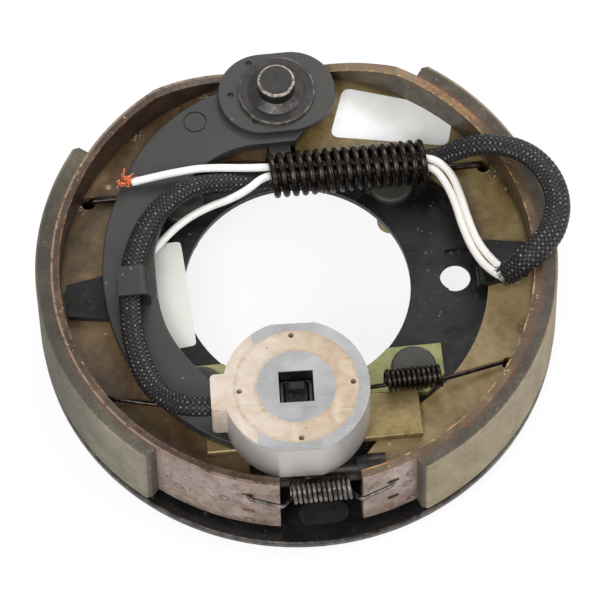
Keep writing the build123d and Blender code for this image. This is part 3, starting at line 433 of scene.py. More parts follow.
def friction(name, top_tones, side_tones, shade=0.0):
    """Moulded friction compound: grey, dusty, with small chips, pits and fibres, and painted shade
    towards the far left where asked.
    """
    s = Shader(name, roughness=0.82)
    radius = s.radius()
    broad = s.noise(10, 3, 0.6, 0.4)
    grain = s.noise(0.7, 4, 0.75)
    cloud = s.calc("ADD", s.both(broad, 0.5), s.both(grain, 0.5))
    top = s.ramp(cloud, (0.36, *top_tones[0]), (0.5, *top_tones[1]), (0.64, *top_tones[2]))
    side = s.ramp(cloud, (0.36, *side_tones[0]), (0.5, *side_tones[1]), (0.64, *side_tones[2]))
    base = s.mix(s.span(radius, LINING_OUT - 1.1, LINING_OUT - 0.2), top, side)
    chips = s.specks(1.1, 0.5)
    base = s.tint(base, chips, 0.4, 158, 150, 128)
    pits = s.span(s.cells(1.6), 0.24, 0.1)
    base = s.tint(base, pits, 0.45, 38, 35, 31)
    streak = s.noise(1.0, 2, 0.5, 0.0, s.stretch(0.12, 0.12, 1.6))
    fibres = s.both(s.span(radius, LINING_OUT - 0.4, LINING_OUT - 0.1),
                    s.span(streak, 0.55, 0.7, 0, 0.35))
    base = s.mix(fibres, base, tone(*side_tones[0]))
    glue = s.both(s.span(radius, TABLE_OUT + 1.2, TABLE_OUT + 0.3),
                  s.span(s.noise(2.5, 4, 0.7), 0.42, 0.56))
    base = s.tint(base, glue, 0.75, 104, 62, 32)
    # painted shade: the lining darker towards its far left end, by the share given
    if shade:
        base = s.mix(s.span(s.x, -66, -86, 0, shade), base, tone(34, 30, 26))
    s.colour(base)
    s.rough(s.span(grain, 0.3, 0.7, 0.74, 0.92))
    s.bump(grain, 0.1, 0.8)
    s.bump(s.both(pits, -1.0), 0.12, 0.8)
    return s.mat


def magnet_steel():
    """Bright steel pot: brushed face, rubbed side with a painted highlight, darker towards its foot,
    and a square well that is partly its own black and partly painted shade.
    """
    s = Shader("magnet_steel", metallic=0.5, roughness=0.4)
    cloud = s.noise(14, 4, 0.6, 0.5)
    base = s.ramp(cloud, (0.3, 156, 155, 156), (0.52, 170, 169, 170), (0.74, 184, 183, 184))
    face = s.span(s.z, MAGNET_FACE - 0.4, MAGNET_FACE - 0.05)
    lines = s.noise(1.0, 2, 0.6, 0.0, s.stretch(0.1, 5.0, 0.5, 34))
    base = s.mix(s.both(face, s.span(lines, 0.55, 0.7, 0, 0.3)), base, tone(204, 203, 203))
    base = s.mix(s.both(face, s.span(lines, 0.42, 0.3, 0, 0.28)), base, tone(132, 128, 126))
    grain = s.noise(0.5, 3, 0.7)
    base = s.mix(s.span(grain, 0.58, 0.75, 0, 0.3), base, tone(206, 205, 205))
    base = s.mix(s.span(grain, 0.42, 0.28, 0, 0.3), base, tone(128, 124, 121))
    rubbed = s.noise(1.0, 3, 0.6, 0.0, s.stretch(0.9, 0.9, 0.06))
    side = s.span(s.z, MAGNET_FACE - 0.4, MAGNET_FACE - 1.0)
    base = s.mix(s.both(side, s.span(rubbed, 0.54, 0.7, 0, 0.35)), base, tone(142, 138, 135))
    # painted highlight: the side lightened and warmed, for the light it catches
    base = s.tint(base, side, 0.65, 198, 192, 186)
    # darker towards the foot
    foot = s.span(s.z, 21.0, 16.5)
    base = s.tint(base, foot, 0.4, 126, 118, 106)
    bruise = s.span(s.noise(2.4, 4, 0.7, 0.8), 0.68, 0.74)
    base = s.tint(base, bruise, 0.5, 108, 98, 88)
    # the well near black: partly its own black, partly painted shade deep inside
    well = s.both(s.span(s.radius(*MAGNET_AXIS), 9.2, 8.2),
                  s.span(s.z, MAGNET_FACE - 0.1, MAGNET_FACE - 0.7))
    base = s.mix(well, base, tone(26, 24, 23))
    s.colour(base)
    s.metal(s.span(well, 0.2, 0.8, 0.5, 0.1))
    s.rough(s.span(cloud, 0.3, 0.7, 0.36, 0.48))
    s.bump(lines, 0.012, 0.5)
    s.bump(s.noise(0.8, 3, 0.6), 0.02, 0.5)
    return s.mat


def potting():
    """Pale resin, smeared, browner on the right and stained along its inner and outer edges."""
    s = Shader("potting", roughness=0.5)
    broad = s.noise(8, 4, 0.6, 1.0)
    left = s.ramp(broad, (0.3, 184, 166, 146), (0.52, 196, 182, 168), (0.74, 206, 194, 183))
    right = s.ramp(broad, (0.3, 166, 144, 118), (0.52, 181, 162, 139), (0.74, 194, 178, 160))
    base = s.mix(s.span(s.x, -26, 12), left, right)
    reach = s.radius(*MAGNET_AXIS)
    near_core = s.span(reach, 15.0, 13.3)
    near_ring = s.both(s.span(reach, 19.2, 20.4), s.span(reach, 21.4, 20.8))
    stain = s.both(s.calc("MAXIMUM", near_core, near_ring),
                   s.span(s.noise(2.6, 4, 0.65, 1.0), 0.4, 0.6, 0.1, 0.5))
    base = s.mix(stain, base, tone(158, 128, 92))
    smear = s.noise(1.0, 3, 0.6, 0.3, s.stretch(0.12, 0.6, 0.3, 40))
    base = s.mix(s.span(smear, 0.54, 0.7, 0, 0.4), base, tone(176, 158, 142))
    base = s.mix(s.span(smear, 0.42, 0.28, 0, 0.4), base, tone(206, 194, 180))
    dots = s.specks(2.6, 0.16)
    base = s.tint(base, dots, 0.5, 132, 98, 66)
    s.colour(base)
    s.rough(s.span(broad, 0.3, 0.7, 0.42, 0.58))
    s.bump(smear, 0.02, 0.5)
    s.bump(s.noise(1.3, 3, 0.6), 0.03, 0.5)
    return s.mat


def zinc():
    """Yellow zinc plating: greenish on the ears, browner on the front, scuffed and grimy."""
    s = Shader("zinc_bracket", metallic=0.5, roughness=0.38)
    broad = s.noise(11, 4, 0.6, 1.4)
    ears = s.ramp(broad, (0.28, 116, 124, 78), (0.46, 136, 140, 90),
                  (0.6, 152, 152, 104), (0.76, 146, 130, 90))
    front = s.ramp(broad, (0.28, 118, 104, 66), (0.46, 140, 122, 80),
                   (0.6, 156, 136, 94), (0.76, 142, 108, 72))
    base = s.mix(s.span(s.y, -44, -46), ears, front)
    fine = s.noise(1.0, 4, 0.7, 0.4)
    base = s.mix(s.span(fine, 0.54, 0.7, 0, 0.5), base, tone(92, 80, 48))
    base = s.mix(s.span(fine, 0.44, 0.3, 0, 0.4), base, tone(182, 170, 130))
    scuffs = s.scratches(62, 5, 0.16, 0.5)
    base = s.tint(base, scuffs, 0.45, 206, 198, 168)
    darkening = s.span(s.noise(4.5, 4, 0.7, 0.6), 0.56, 0.7)
    base = s.tint(base, darkening, 0.5, 74, 60, 36)
    s.colour(base)
    s.rough(s.span(fine, 0.3, 0.7, 0.28, 0.48))
    s.bump(fine, 0.025, 0.6)
    s.bump(s.noise(6, 2, 0.5), 0.1, 0.4)
    return s.mat


def wire_steel(name, dark, mid, light, rough):
    """Oiled or bright drawn wire."""
    s = Shader(name, metallic=0.9, roughness=rough)
    cloud = s.noise(3.2, 4, 0.6, 0.6)
    base = s.ramp(cloud, (0.3, *dark), (0.52, *mid), (0.74, *light))
    base = s.mix(s.span(s.noise(0.6, 3, 0.7), 0.6, 0.75, 0, 0.6), base, tone(*dark))
    s.colour(base)
    s.rough(s.span(cloud, 0.3, 0.7, rough * 0.75, rough * 1.35))
    s.bump(s.noise(0.5, 3, 0.6), 0.012, 0.6)
    return s.mat


def anchor_steel():
    """Blackened post whose top edge is worn bright."""
    s = Shader("anchor_steel", metallic=0.35, roughness=0.45)
    reach = s.radius(*ANCHOR_AXIS)
    cloud = s.noise(3, 4, 0.65, 0.6)
    base = s.ramp(cloud, (0.3, 34, 33, 33), (0.52, 45, 44, 43), (0.74, 60, 57, 55))
    rings = s.calc("SINE", s.both(reach, 16.0))
    turned = s.both(s.span(s.z, ANCHOR_TOP - 0.4, ANCHOR_TOP - 0.1), s.span(rings, 0.3, 0.9, 0, 0.14))
    base = s.mix(turned, base, tone(110, 106, 102))
    edge = s.both(s.span(reach, 5.45, 5.75), s.span(s.z, ANCHOR_TOP - 1.0, ANCHOR_TOP - 0.65))
    edge = s.both(edge, s.span(s.noise(1.2, 4, 0.7), 0.4, 0.56, 0.15, 0.95))
    base = s.mix(edge, base, tone(196, 186, 168))
    side = s.span(s.z, ANCHOR_TOP - 1.2, ANCHOR_TOP - 3.4)
    base = s.tint(base, side, 0.6, 30, 26, 23)
    s.colour(base)
    s.rough(s.span(cloud, 0.3, 0.7, 0.36, 0.52))
    s.bump(s.noise(0.6, 3, 0.6), 0.02, 0.6)
    return s.mat


def washer_metal():
    """Dark satin washer, worn bright at its rim, with a painted highlight low on its cone and painted
    shade in the crease at the cone's foot.
    """
    s = Shader("washer_metal", metallic=0.4, roughness=0.38)
    reach = s.radius(*ANCHOR_AXIS)
    cloud = s.noise(5, 4, 0.65, 0.8)
    base = s.ramp(cloud, (0.3, 44, 42, 40), (0.52, 55, 52, 51), (0.74, 70, 67, 63))
    cone = s.span(reach, 9.9, 9.2)
    # painted highlight: the front, lower part of the cone lightened where the light falls on it
    low = s.both(cone, s.span(s.y, 66.5, 61.5))
    spokes = s.noise(1.4, 3, 0.6, 0.4)
    base = s.mix(s.both(low, s.span(spokes, 0.46, 0.7, 0.1, 0.6)), base, tone(134, 130, 127))
    # painted shade: a dark ring in the crease at the foot of the cone
    foot = s.both(s.span(reach, 10.4, 10.0), s.span(reach, 9.2, 9.7))
    base = s.tint(base, foot, 0.5, 30, 28, 27)
    rim = s.span(reach, 12.4, 12.9)
    rim = s.both(rim, s.span(s.noise(4, 4, 0.7), 0.46, 0.6, 0.1, 0.6))
    base = s.mix(rim, base, tone(136, 130, 122))
    grease = s.span(s.noise(2.2, 4, 0.7, 1.2), 0.6, 0.7)
    base = s.tint(base, grease, 0.4, 36, 33, 31)
    s.colour(base)
    s.rough(s.span(cloud, 0.3, 0.7, 0.3, 0.46))
    s.bump(s.noise(0.9, 3, 0.6), 0.03, 0.5)
    return s.mat


def adjuster_black():
    """Near black and glossy, with patches of dirt."""
    s = Shader("adjuster_black", metallic=0.3, roughness=0.3)
    cloud = s.noise(3, 4, 0.65, 0.8)
    base = s.ramp(cloud, (0.3, 20, 18, 17), (0.52, 32, 29, 27), (0.74, 54, 49, 45))
    dirt = s.span(s.noise(1.3, 4, 0.7, 0.5), 0.56, 0.68)
    base = s.tint(base, dirt, 0.5, 84, 72, 60)
    s.colour(base)
    s.rough(s.span(cloud, 0.3, 0.7, 0.22, 0.5))
    s.bump(s.noise(0.8, 3, 0.6), 0.06, 0.7)
    return s.mat


def plug_rubber():
    """Black rubber under patches of dust."""
    s = Shader("plug_rubber", roughness=0.5)
    cloud = s.noise(4, 4, 0.65, 0.8)
    base = s.ramp(cloud, (0.3, 20, 20, 20), (0.52, 30, 29, 28), (0.74, 44, 42, 40))
    dust = s.span(s.noise(0.9, 4, 0.7), 0.58, 0.72)
    base = s.tint(base, dust, 0.5, 92, 86, 78)
    s.colour(base)
    s.bump(s.noise(0.8, 3, 0.6), 0.05, 0.7)
    return s.mat


def stud_black():
    """Dull black heads on yellowish shanks."""
    s = Shader("stud_black", roughness=0.55)
    cloud = s.noise(5, 4, 0.6, 0.5)
    base = s.ramp(cloud, (0.3, 45, 43, 40), (0.52, 54, 52, 48), (0.74, 66, 63, 58))
    base = s.mix(s.span(s.noise(0.4, 2, 0.7), 0.6, 0.75, 0, 0.5), base, tone(82, 77, 70))
    shank = s.span(s.z, -0.4, -1.2)
    base = s.mix(shank, base, tone(148, 136, 92))
    s.colour(base)
    s.bump(s.noise(0.6, 3, 0.6), 0.03, 0.6)
    return s.mat


def copper_wire():
    """Bright bare copper."""
    s = Shader("copper_wire", metallic=0.7, roughness=0.38)
    cloud = s.noise(1.2, 3, 0.6)
    s.colour(s.ramp(cloud, (0.3, 214, 104, 62), (0.6, 236, 140, 98), (0.8, 246, 182, 150)))
    s.bump(s.noise(0.2, 2, 0.6), 0.01, 0.5)
    return s.mat


def insulation():
    """White plastic, a little dirty, greyer towards its right end, and near black with painted shade
    where it lies inside the upper spring.
    """
    s = Shader("insulation", roughness=0.42)
    cloud = s.noise(6, 4, 0.6, 0.6)
    base = s.ramp(cloud, (0.3, 234, 231, 227), (0.55, 246, 244, 241), (0.8, 251, 250, 249))
    dirt = s.span(s.noise(2.2, 4, 0.7, 0.8), 0.58, 0.7)
    base = s.tint(base, dirt, 0.3, 168, 154, 134)
    in_spring = s.both(s.span(s.x, -6.5, -4.5), s.span(s.x, 48.5, 46.5))
    # painted shade: the wire near black where it runs inside the upper spring
    spring_shade = s.both(in_spring, s.span(s.y, 28.5, 29.5))
    # greyer towards the right end
    base = s.mix(s.span(s.x, 44, 56, 0, 0.7), base, tone(222, 217, 209))
    base = s.mix(spring_shade, base, tone(24, 21, 19))
    s.colour(base)
    s.bump(s.noise(0.8, 3, 0.6), 0.02, 0.5)
    return s.mat


def braid_black():
    """Black braid with painted shade in its grooves, lighter crests, and painted glints on the crests
    of one family of strands.
    """
    s = Shader("braid_black", roughness=0.5, Specular_IOR_Level=0.3)
    ridge = s.nodes.new("ShaderNodeAttribute")
    ridge.attribute_name = "braid_ridge"
    side = s.nodes.new("ShaderNodeAttribute")
    side.attribute_name = "braid_side"
    height = ridge.outputs["Fac"]
    # painted shade and highlight: near black down in the grooves, lighter towards the crests
    base = s.ramp(height, (0.1, 3, 3, 3), (0.6, 18, 18, 18), (0.95, 46, 45, 44))
    glint = s.both(s.span(height, 0.72, 0.95), s.span(s.noise(1.5, 3, 0.75, 0.6), 0.46, 0.6))
    glint = s.both(glint, side.outputs["Fac"])
    base = s.tint(base, glint, 0.8, 150, 147, 144)
    s.colour(base)
    s.rough(s.span(height, 0.1, 0.9, 0.7, 0.4))
    s.bump(s.noise(0.3, 2, 0.7), 0.03, 0.8)
    return s.mat


def label_paper():
    """White paper, a little dirty, and greyer on the left sticker."""
    s = Shader("label_paper", roughness=0.38)
    cloud = s.noise(12, 3, 0.6, 0.4)
    base = s.ramp(cloud, (0.3, 228, 228, 226), (0.6, 240, 240, 238), (0.8, 246, 246, 245))
    dirt = s.span(s.noise(3.0, 4, 0.7, 0.8), 0.62, 0.75)
    base = s.tint(base, dirt, 0.25, 180, 174, 160)
    base = s.mix(s.span(s.x, 10, -10, 0, 0.8), base, tone(204, 204, 196))
    s.colour(base)
    s.bump(s.noise(4.5, 2, 0.5), 0.08, 0.5)
    return s.mat


# The CAD nodes' materials, and the nodes that share one with another node

MATERIALS = {
    "backing_plate": enamel_black(),
    "mounting_studs": stud_black(),
    "anchor_post": anchor_steel(),
    "retaining_plate": lever_grey("retainer_grey", -5, 1),
    "domed_washer": washer_metal(),
    "lever_arm": lever_grey("lever_grey"),
    "lead_clip": lever_grey("clip_grey", 12),
    "slot_plug": plug_rubber(),
    "adjusting_screw": adjuster_black(),
    "magnet_body": magnet_steel(),
    "magnet_resin": potting(),
    "guide_bracket": zinc(),
    "primary_web": shoe_coat("web_brown", [(58, 43, 26), (90, 69, 42), (118, 94, 62)],
                             (96, 60, 38), 0.5, PRIMARY_WELDS),
    "secondary_web": shoe_coat("web_olive", [(88, 71, 34), (122, 103, 64), (144, 125, 86)],
                               (98, 66, 34), 0.45, SECONDARY_WELDS),
    "primary_table": table_coat(),
    "primary_lining": friction("lining_left", [(60, 56, 49), (82, 76, 66), (104, 96, 82)],
                               [(98, 94, 80), (124, 118, 101), (146, 139, 120)], 0.55),
    "secondary_lining": friction("lining_right", [(56, 50, 43), (74, 67, 58), (92, 83, 72)],
                                 [(118, 106, 84), (138, 126, 102), (156, 143, 119)]),
    "upper_return_spring": wire_steel("spring_oiled", (30, 25, 22), (56, 48, 44), (84, 74, 68), 0.24),
    "adjuster_spring": wire_steel("spring_bright", (60, 56, 53), (104, 98, 93), (150, 144, 137), 0.3),
    "magnet_coil": copper_wire(),
}
SHARED = {
    "lever_post": "adjusting_screw",
    "post_clip": "adjuster_spring",
    "magnet_spring": "adjuster_spring",
    "secondary_table": "primary_table",
    "adjusting_nut": "adjusting_screw",
    "thrust_washer": "adjusting_screw",
    "adjuster_socket": "adjusting_screw",
    "lower_return_spring": "upper_return_spring",
}
BRAID = braid_black()
WHITE_WIRE = insulation()
PAPER = label_paper()

for name, node in NODES.items():
    material = MATERIALS.get(name) or MATERIALS.get(SHARED.get(name, ""))
    if material:
        node.data.materials.clear()
        node.data.materials.append(material)


# Mesh helpers

def mesh_object(name, vertices, faces, material):
    """A smooth mesh of one material, in the scene."""
    mesh = bpy.data.meshes.new(name)
    mesh.from_pydata([tuple(v) for v in vertices], [], faces)
    mesh.update()
    mesh.materials.append(material)
    mesh.polygons.foreach_set("use_smooth", [True] * len(mesh.polygons))
    return add_object(name, mesh)


def smooth_path(points, resolution=14):
    """Points, in metres, of the smooth line that a route in millimetres controls."""
    data = bpy.data.curves.new("route", "CURVE")
    data.dimensions = "3D"
    spline = data.splines.new("NURBS")
    spline.points.add(len(points) - 1)
    for point, (x, y, z) in zip(spline.points, points):
        point.co = (x * MM, y * MM, z * MM, 1.0)
    spline.order_u = 3
    spline.use_endpoint_u = True
    spline.resolution_u = resolution
    holder = add_object("route", data)
    bpy.context.view_layer.update()
    evaluated = holder.evaluated_get(bpy.context.evaluated_depsgraph_get())
    mesh = bpy.data.meshes.new_from_object(evaluated)
    path = np.array([v.co for v in mesh.vertices])
    bpy.data.objects.remove(holder)
    bpy.data.meshes.remove(mesh)
    return path


def even(path, step):
    """The line with points an even step apart, and how far along it each lies, in metres."""
    fewest = 4
    lengths = np.concatenate([[0], np.cumsum(np.linalg.norm(np.diff(path, axis=0), axis=1))])
    count = max(fewest, int(round(lengths[-1] / step)) + 1)
    marks = np.linspace(0, lengths[-1], count)
    return np.stack([np.interp(marks, lengths, path[:, k]) for k in range(3)], axis=1), marks


def directions_across(path):
    """Two steady directions across the line at each of its points."""
    along = np.gradient(path, axis=0)
    along /= np.linalg.norm(along, axis=1)[:, None]
    across = np.zeros_like(path)
    first = np.cross(along[0], (0, 0, 1))
    upright = np.linalg.norm(first) < 1e-6
    if upright:
        first = np.array((1.0, 0, 0))
    across[0] = first / np.linalg.norm(first)
    for i in range(1, len(path)):
        side = across[i - 1] - along[i] * (across[i - 1] @ along[i])
        across[i] = side / np.linalg.norm(side)
    return across, np.cross(along, across)


def tube(name, path, radius, material, around):
    """A closed tube along a line; radius is a number, or one per point and angle."""
    side, up = directions_across(path)
    angles = np.arange(around) * 2 * math.pi / around
    circle = (side[:, None, :] * np.cos(angles)[None, :, None]
              + up[:, None, :] * np.sin(angles)[None, :, None])
    radius = np.broadcast_to(radius, (len(path), around))
    vertices = (path[:, None, :] + circle * radius[:, :, None]).reshape(-1, 3)
    last = (len(path) - 1) * around
    faces = []
    for here in range(0, last, around):
        there = here + around
        for j in range(around):
            k = (j + 1) % around
            faces.append((here + j, here + k, there + k, there + j))
    faces.append(tuple(range(around - 1, -1, -1)))
    faces.append(tuple(range(last, last + around)))
    return mesh_object(name, vertices, faces, material)


# Cords

# The routes repeat those of the CAD model, with more points on the straight stretches.
# The second wire lies up to 1.5 mm nearer to the first than in the CAD model.

SLEEVE_ROUTE = [
    (-33.9, -53.2, 25.9), (-39.4, -52.9, 25.9), (-45.4, -49.2, 22.2), (-51.4, -42.2, 18.6),
    (-55.3, -33.0, 17.4), (-57.3, -21.6, 17.3), (-57.5, -9.0, 17.4), (-56.0, 3.6, 17.4),
    (-52.8, 14.6, 17.3), (-47.0, 24.4, 17.1), (-39.2, 31.8, 16.8), (-29.4, 36.4, 16.2),
    (-9.0, 36.9, 12.2), (0.0, 37.3, 12.3), (45.0, 39.1, 12.6), (53.4, 39.4, 12.6),
    (58.8, 38.4, 18.4), (64.6, 37.0, 23.4), (71.8, 35.4, 25.8), (81.2, 31.4, 26.3),
    (88.0, 22.8, 26.3), (90.5, 11.8, 26.2), (88.2, 2.4, 25.8), (83.4, -4.2, 25.3),
    (77.6, -7.8, 23.9), (74.0, -9.0, 19.8), (70.8, -9.0, 15.8),
]
WIRE_A_ROUTE = [
    (69.8, -7.2, 14.4), (66.0, -1.8, 13.1), (62.4, 5.2, 12.6), (60.2, 13.8, 12.5),
    (58.6, 23.6, 13.0), (56.2, 32.0, 14.8), (50.8, 36.9, 17.1), (44.0, 37.2, 17.1),
    (-4.0, 39.2, 17.3), (-12.0, 39.6, 17.3), (-27.4, 41.4, 17.3), (-36.0, 41.2, 16.6),
    (-44.6, 40.3, 16.2), (-52.6, 39.4, 15.4),
]
WIRE_B_ROUTE = [
    (69.8, -10.4, 14.4), (65.0, -6.0, 13.0), (60.7, 1.6, 12.5), (57.9, 11.4, 12.4),
    (56.3, 22.0, 12.8), (53.8, 29.6, 13.4), (50.4, 34.6, 15.2), (43.5, 34.8, 15.5),
    (-1.0, 35.9, 16.9), (-7.5, 36.1, 17.1), (-13.5, 32.0, 16.0), (-20.0, 30.6, 12.8),
    (-27.0, 30.2, 10.0), (-34.6, 27.8, 7.8), (-41.8, 23.2, 6.1), (-48.0, 17.0, 5.6),
]
SLEEVE_HALF_HEIGHT = 3.1
WIRE_RADIUS = 1.35
WIRE_SIDES = 20
WIRE_STEP = 0.9

# Half the sleeve's width at some shares of its length, and waves of (depth, length, phase) on it

SLEEVE_SHARES = (0.0, 0.04, 0.12, 0.3, 0.36, 0.41, 0.6, 0.64, 0.72, 0.86, 0.95, 1.0)
SLEEVE_HALF_WIDTHS = (3.2, 3.5, 3.9, 3.9, 3.7, 3.1, 3.1, 3.3, 4.0, 4.4, 4.3, 4.1)
SLEEVE_WAVES = ((0.12, 13, 0.0), (0.08, 5.3, 1.0))

BRAID_STRANDS = 10
BRAID_LAY = 8.6
BRAID_SIDES = 72
BRAID_STEP = 0.34
BRAID_GROOVE = 0.3
BRAID_RELIEF = 0.42

def crest(own, other):
    """Height of a strand, 0 to 1: round across itself, and lower where it dives under the other."""
    dip = 0.38
    round_top = np.sqrt(np.clip(1 - (2 * (own % 1) - 1) ** 2, 0, 1))
    return round_top * (1 - dip + dip * np.sin(np.pi * (other % 1)))


def braided_sleeve():
    """The sleeve as a tube whose surface carries two families of crossing strands."""
    path, marks = even(smooth_path(SLEEVE_ROUTE), BRAID_STEP * MM)
    angles = np.arange(BRAID_SIDES) / BRAID_SIDES
    turns = marks[:, None] / (BRAID_LAY * MM)
    a = BRAID_STRANDS * (angles[None, :] + turns / 2)
    b = BRAID_STRANDS * (angles[None, :] - turns / 2)
    over = (np.floor(a) + np.floor(b)) % 2 < 1
    ridge = np.where(over, crest(a, b), crest(b, a))
    width = np.interp(marks / marks[-1], SLEEVE_SHARES, SLEEVE_HALF_WIDTHS)
    for depth, length, phase in SLEEVE_WAVES:
        width = width + depth * np.sin(marks / (length * MM) + phase)
    bearing = 2 * math.pi * angles[None, :]
    oval = 1 / np.sqrt((np.cos(bearing) / width[:, None]) ** 2
                       + (np.sin(bearing) / SLEEVE_HALF_HEIGHT) ** 2)
    radius = (oval - BRAID_GROOVE + BRAID_RELIEF * ridge) * MM
    piece = tube("lead_sleeve_braid", path, radius, BRAID, BRAID_SIDES)
    for key, values in (("braid_ridge", ridge), ("braid_side", over.astype(float))):
        attribute = piece.data.attributes.new(key, "FLOAT", "POINT")
        attribute.data.foreach_set("value", values.astype(np.float32).ravel())
    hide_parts("lead_sleeve", "lead_sleeve_on_lever")
    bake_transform(piece)
    return path


def white_wire(name, route, replaced, across):
    """A white wire that stays on the plate, or goes across to the lever."""
    path, marks = even(smooth_path(route), WIRE_STEP * MM)
    piece = tube(name, path, WIRE_RADIUS * MM, WHITE_WIRE, WIRE_SIDES)
    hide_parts(*replaced)
    if across:
        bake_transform(piece)
    else:
        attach(piece, "backing")
    return path


sleeve_path = braided_sleeve()
wire_path = white_wire("lead_wire_first", WIRE_A_ROUTE, ["lead_wire_a", "lead_wire_a_on_lever"], True)
white_wire("lead_wire_second", WIRE_B_ROUTE, ["lead_wire_b"], False)


# Springs: each cut in two halves, and the magnet's spring copied onto the lever

# Name, place of the cut between its halves, reach of its hooks, and place across, in millimetres

SPRINGS = (
    ("upper_return_spring", 21.5, 66.0, 38.0),
    ("lower_return_spring", 0.0, 66.0, -38.0),
    ("adjuster_spring", 0.0, 20.0, -80.0),
)


def half_spring(name, shoe, side, cut_x):
    """Half of a CAD spring, cut off at cut_x, with its mesh named for a shoe."""
    node = NODES[name]
    bm = bmesh.new()
    bm.from_mesh(node.data)
    everything = bm.verts[:] + bm.edges[:] + bm.faces[:]
    cut = bmesh.ops.bisect_plane(bm, geom=everything, plane_co=(cut_x * MM, 0, 0),
                                 plane_no=(-side, 0, 0), clear_outer=True)
    rim = [e for e in cut["geom_cut"] if isinstance(e, bmesh.types.BMEdge)]
    bmesh.ops.holes_fill(bm, edges=rim, sides=0)
    mesh = bpy.data.meshes.new("%s_%s" % (name, shoe))
    bm.to_mesh(mesh)
    bm.free()
    mesh.materials.append(node.data.materials[0])
    piece = add_object(mesh.name, mesh)
    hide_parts(name)
    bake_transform(piece)


def pressed_spring():
    """A copy of the magnet's conical spring, attached to the lever."""
    node = NODES["magnet_spring"]
    piece = add_object("magnet_spring_coil", node.data.copy())
    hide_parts("magnet_spring")
    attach(piece, "lever")
    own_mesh(piece)


for name, cut_x, hook_x, centre_y in SPRINGS:
    half_spring(name, "secondary_shoe", 1, cut_x)
    half_spring(name, "primary_shoe", -1, cut_x)
pressed_spring()


# Stickers, left blank

STICKER_GAP = 0.02
STICKER_THICKNESS = 0.16
RIGHT_STICKER = [(23.4, 73.7), (59.2, 61.8), (59.4, 57.1), (56.9, 47.1), (16.9, 55.0)]
LEFT_STICKER = [(-51.5, 21.2), (-37.9, 21.7), (-37.3, 11.4), (-36.7, -1.0), (-36.1, -18.3),
                (-46.5, -19.4), (-51.0, -6.0)]


def rounded(corners, radius):
    """The outline in the plan with each corner rounded, but no further than its sides allow."""
    steps = 6
    longest = 0.45
    out = []
    for i, place in enumerate(corners):
        corner = np.array(place, float)
        before = np.array(corners[i - 1], float) - corner
        after = np.array(corners[(i + 1) % len(corners)], float) - corner
        reach = min(radius, longest * np.linalg.norm(before), longest * np.linalg.norm(after))
        start = corner + before / np.linalg.norm(before) * reach
        end = corner + after / np.linalg.norm(after) * reach
        for k in range(steps + 1):
            t = k / steps
            out.append((1 - t) ** 2 * start + 2 * t * (1 - t) * corner + t ** 2 * end)
    return out


def sticker(name, corners, radius, low, body):
    """A thin bare plate on a flat face at that height."""
    bm = bmesh.new()
    level = (low + STICKER_GAP) * MM
    bottom = [bm.verts.new((x * MM, y * MM, level)) for x, y in rounded(corners, radius)]
    face = bm.faces.new(bottom)
    top = bmesh.ops.extrude_face_region(bm, geom=[face])
    moved = [v for v in top["geom"] if isinstance(v, bmesh.types.BMVert)]
    bmesh.ops.translate(bm, verts=moved, vec=(0, 0, STICKER_THICKNESS * MM))
    bmesh.ops.recalc_face_normals(bm, faces=bm.faces)
    mesh = bpy.data.meshes.new(name)
    bm.to_mesh(mesh)
    bm.free()
    mesh.materials.append(PAPER)
    piece = add_object(name, mesh)
    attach(piece, body)


sticker("label_right", RIGHT_STICKER, 3.2, WEB_TOP, "secondary_shoe")
sticker("label_left", LEFT_STICKER, 1.6, PLATE_TOP, "backing")


# Loose ends: copper strands at the bare end of the first wire, and the sleeve's frayed end

COPPER_STRANDS = 30
COPPER_RADIUS = 0.24
FRAYS = 34
FRAY_RADIUS = 0.16


def hair(name, points, radius, material):
    """A thin wire along the smooth line that a few points in metres control."""
    resolution = 6
    step = 0.5
    sides = 6
    route = [tuple(point / MM) for point in points]
    path, _ = even(smooth_path(route, resolution), step * MM)
    return tube(name, path, radius * MM, material, sides)


def copper_strands():
    """Bare strands that spread and curl from the end of the first wire."""
    rng = random.Random(7)
    end = Vector(wire_path[-1])
    heading = (end - Vector(wire_path[-3])).normalized()
    for index in range(COPPER_STRANDS):
        spread = Vector((rng.uniform(-0.9, 0.7), rng.uniform(-0.3, 1.1), rng.uniform(-0.2, 0.9)))
        aside = Vector((0, rng.uniform(-0.7, 0.7), rng.uniform(-0.7, 0.7)))
        start = end - heading * 1.2 * MM + aside * MM
        reach = rng.uniform(3.8, 7.4) * MM
        one = end + heading * reach * 0.4 + spread * reach * 0.2
        two = one + (heading * 0.2 + spread) * reach * 0.4
        curl = Vector((rng.uniform(0.0, 1.2), rng.uniform(-0.6, 0.6), rng.uniform(-0.5, 0.1)))
        three = two + (spread * 0.4 + curl) * reach * 0.35
        strand = hair("copper_strand_%02d" % index, (start, one, two, three), COPPER_RADIUS,
                      MATERIALS["magnet_coil"])
        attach(strand, "lever")


def frayed_end():
    """Short threads that stand out round the sleeve's end."""
    rng = random.Random(11)
    end = Vector(sleeve_path[-1])
    heading = (end - Vector(sleeve_path[-8])).normalized()
    across = heading.cross(Vector((0, 1, 0))).normalized()
    other = heading.cross(across)
    for index in range(FRAYS):
        angle = index / FRAYS * 2 * math.pi + rng.uniform(-0.1, 0.1)
        out = across * math.cos(angle) + other * math.sin(angle)
        rim = end - heading * rng.uniform(1.2, 2.4) * MM + out * 3.0 * MM
        mid = end + heading * rng.uniform(0.2, 1.2) * MM + out * rng.uniform(2.9, 3.6) * MM
        tip = mid + heading * rng.uniform(0.8, 2.4) * MM + out * rng.uniform(-0.4, 1.3) * MM
        thread = hair("sleeve_fray_%02d" % index, (rim, mid, tip), FRAY_RADIUS, BRAID)
        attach(thread, "backing")


copper_strands()
frayed_end()


# Floor, lights and world: the floor's level is in millimetres, the rest is in metres

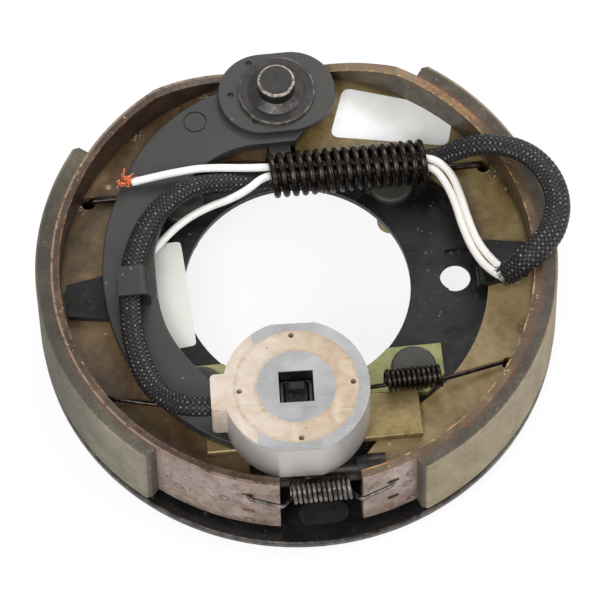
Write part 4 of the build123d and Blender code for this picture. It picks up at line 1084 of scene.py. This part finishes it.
FLOOR_LEVEL = -25.45
FLOOR_REACH = 6.0
FLOOR_COLOUR = (0.86, 0.86, 0.87, 1)
FLOOR_GLOW = 1.05
GLOW_TO_CAMERA = 0.8
GLOW_TO_GLOSS = 0.17
SKY_COLOUR = (1, 1, 1, 1)
SKY_STRENGTH = 0.62

# Name, place, size and power of each lamp, which all shine at the origin

LAMPS = (
    ("key", (-0.35, -0.75, 1.15), (0.7, 0.5), 11.0),
    ("back", (0.45, 0.95, 0.95), (1.0, 0.4), 8.0),
    ("side", (1.1, -0.25, 0.6), (0.4, 0.8), 4.0),
)


def floor_white():
    """Matt white that takes shadows, and glows for the camera and a little in reflections."""
    mat = bpy.data.materials.new("floor_white")
    mat.use_nodes = True
    nodes = mat.node_tree.nodes
    links = mat.node_tree.links
    nodes.clear()
    diffuse = nodes.new("ShaderNodeBsdfDiffuse")
    diffuse.inputs["Color"].default_value = FLOOR_COLOUR
    glow = nodes.new("ShaderNodeEmission")
    glow.inputs["Strength"].default_value = FLOOR_GLOW
    rays = nodes.new("ShaderNodeLightPath")
    shine = nodes.new("ShaderNodeMath")
    shine.operation = "MULTIPLY"
    shine.inputs[1].default_value = GLOW_TO_GLOSS
    links.new(rays.outputs["Is Glossy Ray"], shine.inputs[0])
    share = nodes.new("ShaderNodeMath")
    share.operation = "MULTIPLY_ADD"
    share.inputs[1].default_value = GLOW_TO_CAMERA
    links.new(rays.outputs["Is Camera Ray"], share.inputs[0])
    links.new(shine.outputs[0], share.inputs[2])
    total = nodes.new("ShaderNodeMixShader")
    links.new(share.outputs[0], total.inputs[0])
    links.new(diffuse.outputs[0], total.inputs[1])
    links.new(glow.outputs[0], total.inputs[2])
    out = nodes.new("ShaderNodeOutputMaterial")
    links.new(total.outputs[0], out.inputs["Surface"])
    return mat


def floor():
    """A wide level sheet under the studs."""
    corners = [(-FLOOR_REACH, -FLOOR_REACH), (FLOOR_REACH, -FLOOR_REACH),
               (FLOOR_REACH, FLOOR_REACH), (-FLOOR_REACH, FLOOR_REACH)]
    mesh = bpy.data.meshes.new("floor")
    mesh.from_pydata([(x, y, FLOOR_LEVEL * MM) for x, y in corners], [], [(0, 1, 2, 3)])
    mesh.materials.append(floor_white())
    ground = add_object("floor", mesh)


def sky():
    """An even white world."""
    world = bpy.data.worlds.new("studio")
    bpy.context.scene.world = world
    world.use_nodes = True
    background = world.node_tree.nodes["Background"]
    background.inputs["Color"].default_value = SKY_COLOUR
    background.inputs["Strength"].default_value = SKY_STRENGTH


def lamp(name, place, size, power):
    """A soft rectangular lamp that shines at the origin."""
    data = bpy.data.lights.new(name, "AREA")
    data.shape = "RECTANGLE"
    data.size, data.size_y = size
    data.energy = power
    holder = add_object(name, data)
    holder.location = place
    holder.rotation_euler = (-Vector(place)).to_track_quat("-Z", "Y").to_euler()


floor()
sky()
for settings in LAMPS:
    lamp(*settings)

bpy.context.scene.view_settings.view_transform = "Standard"
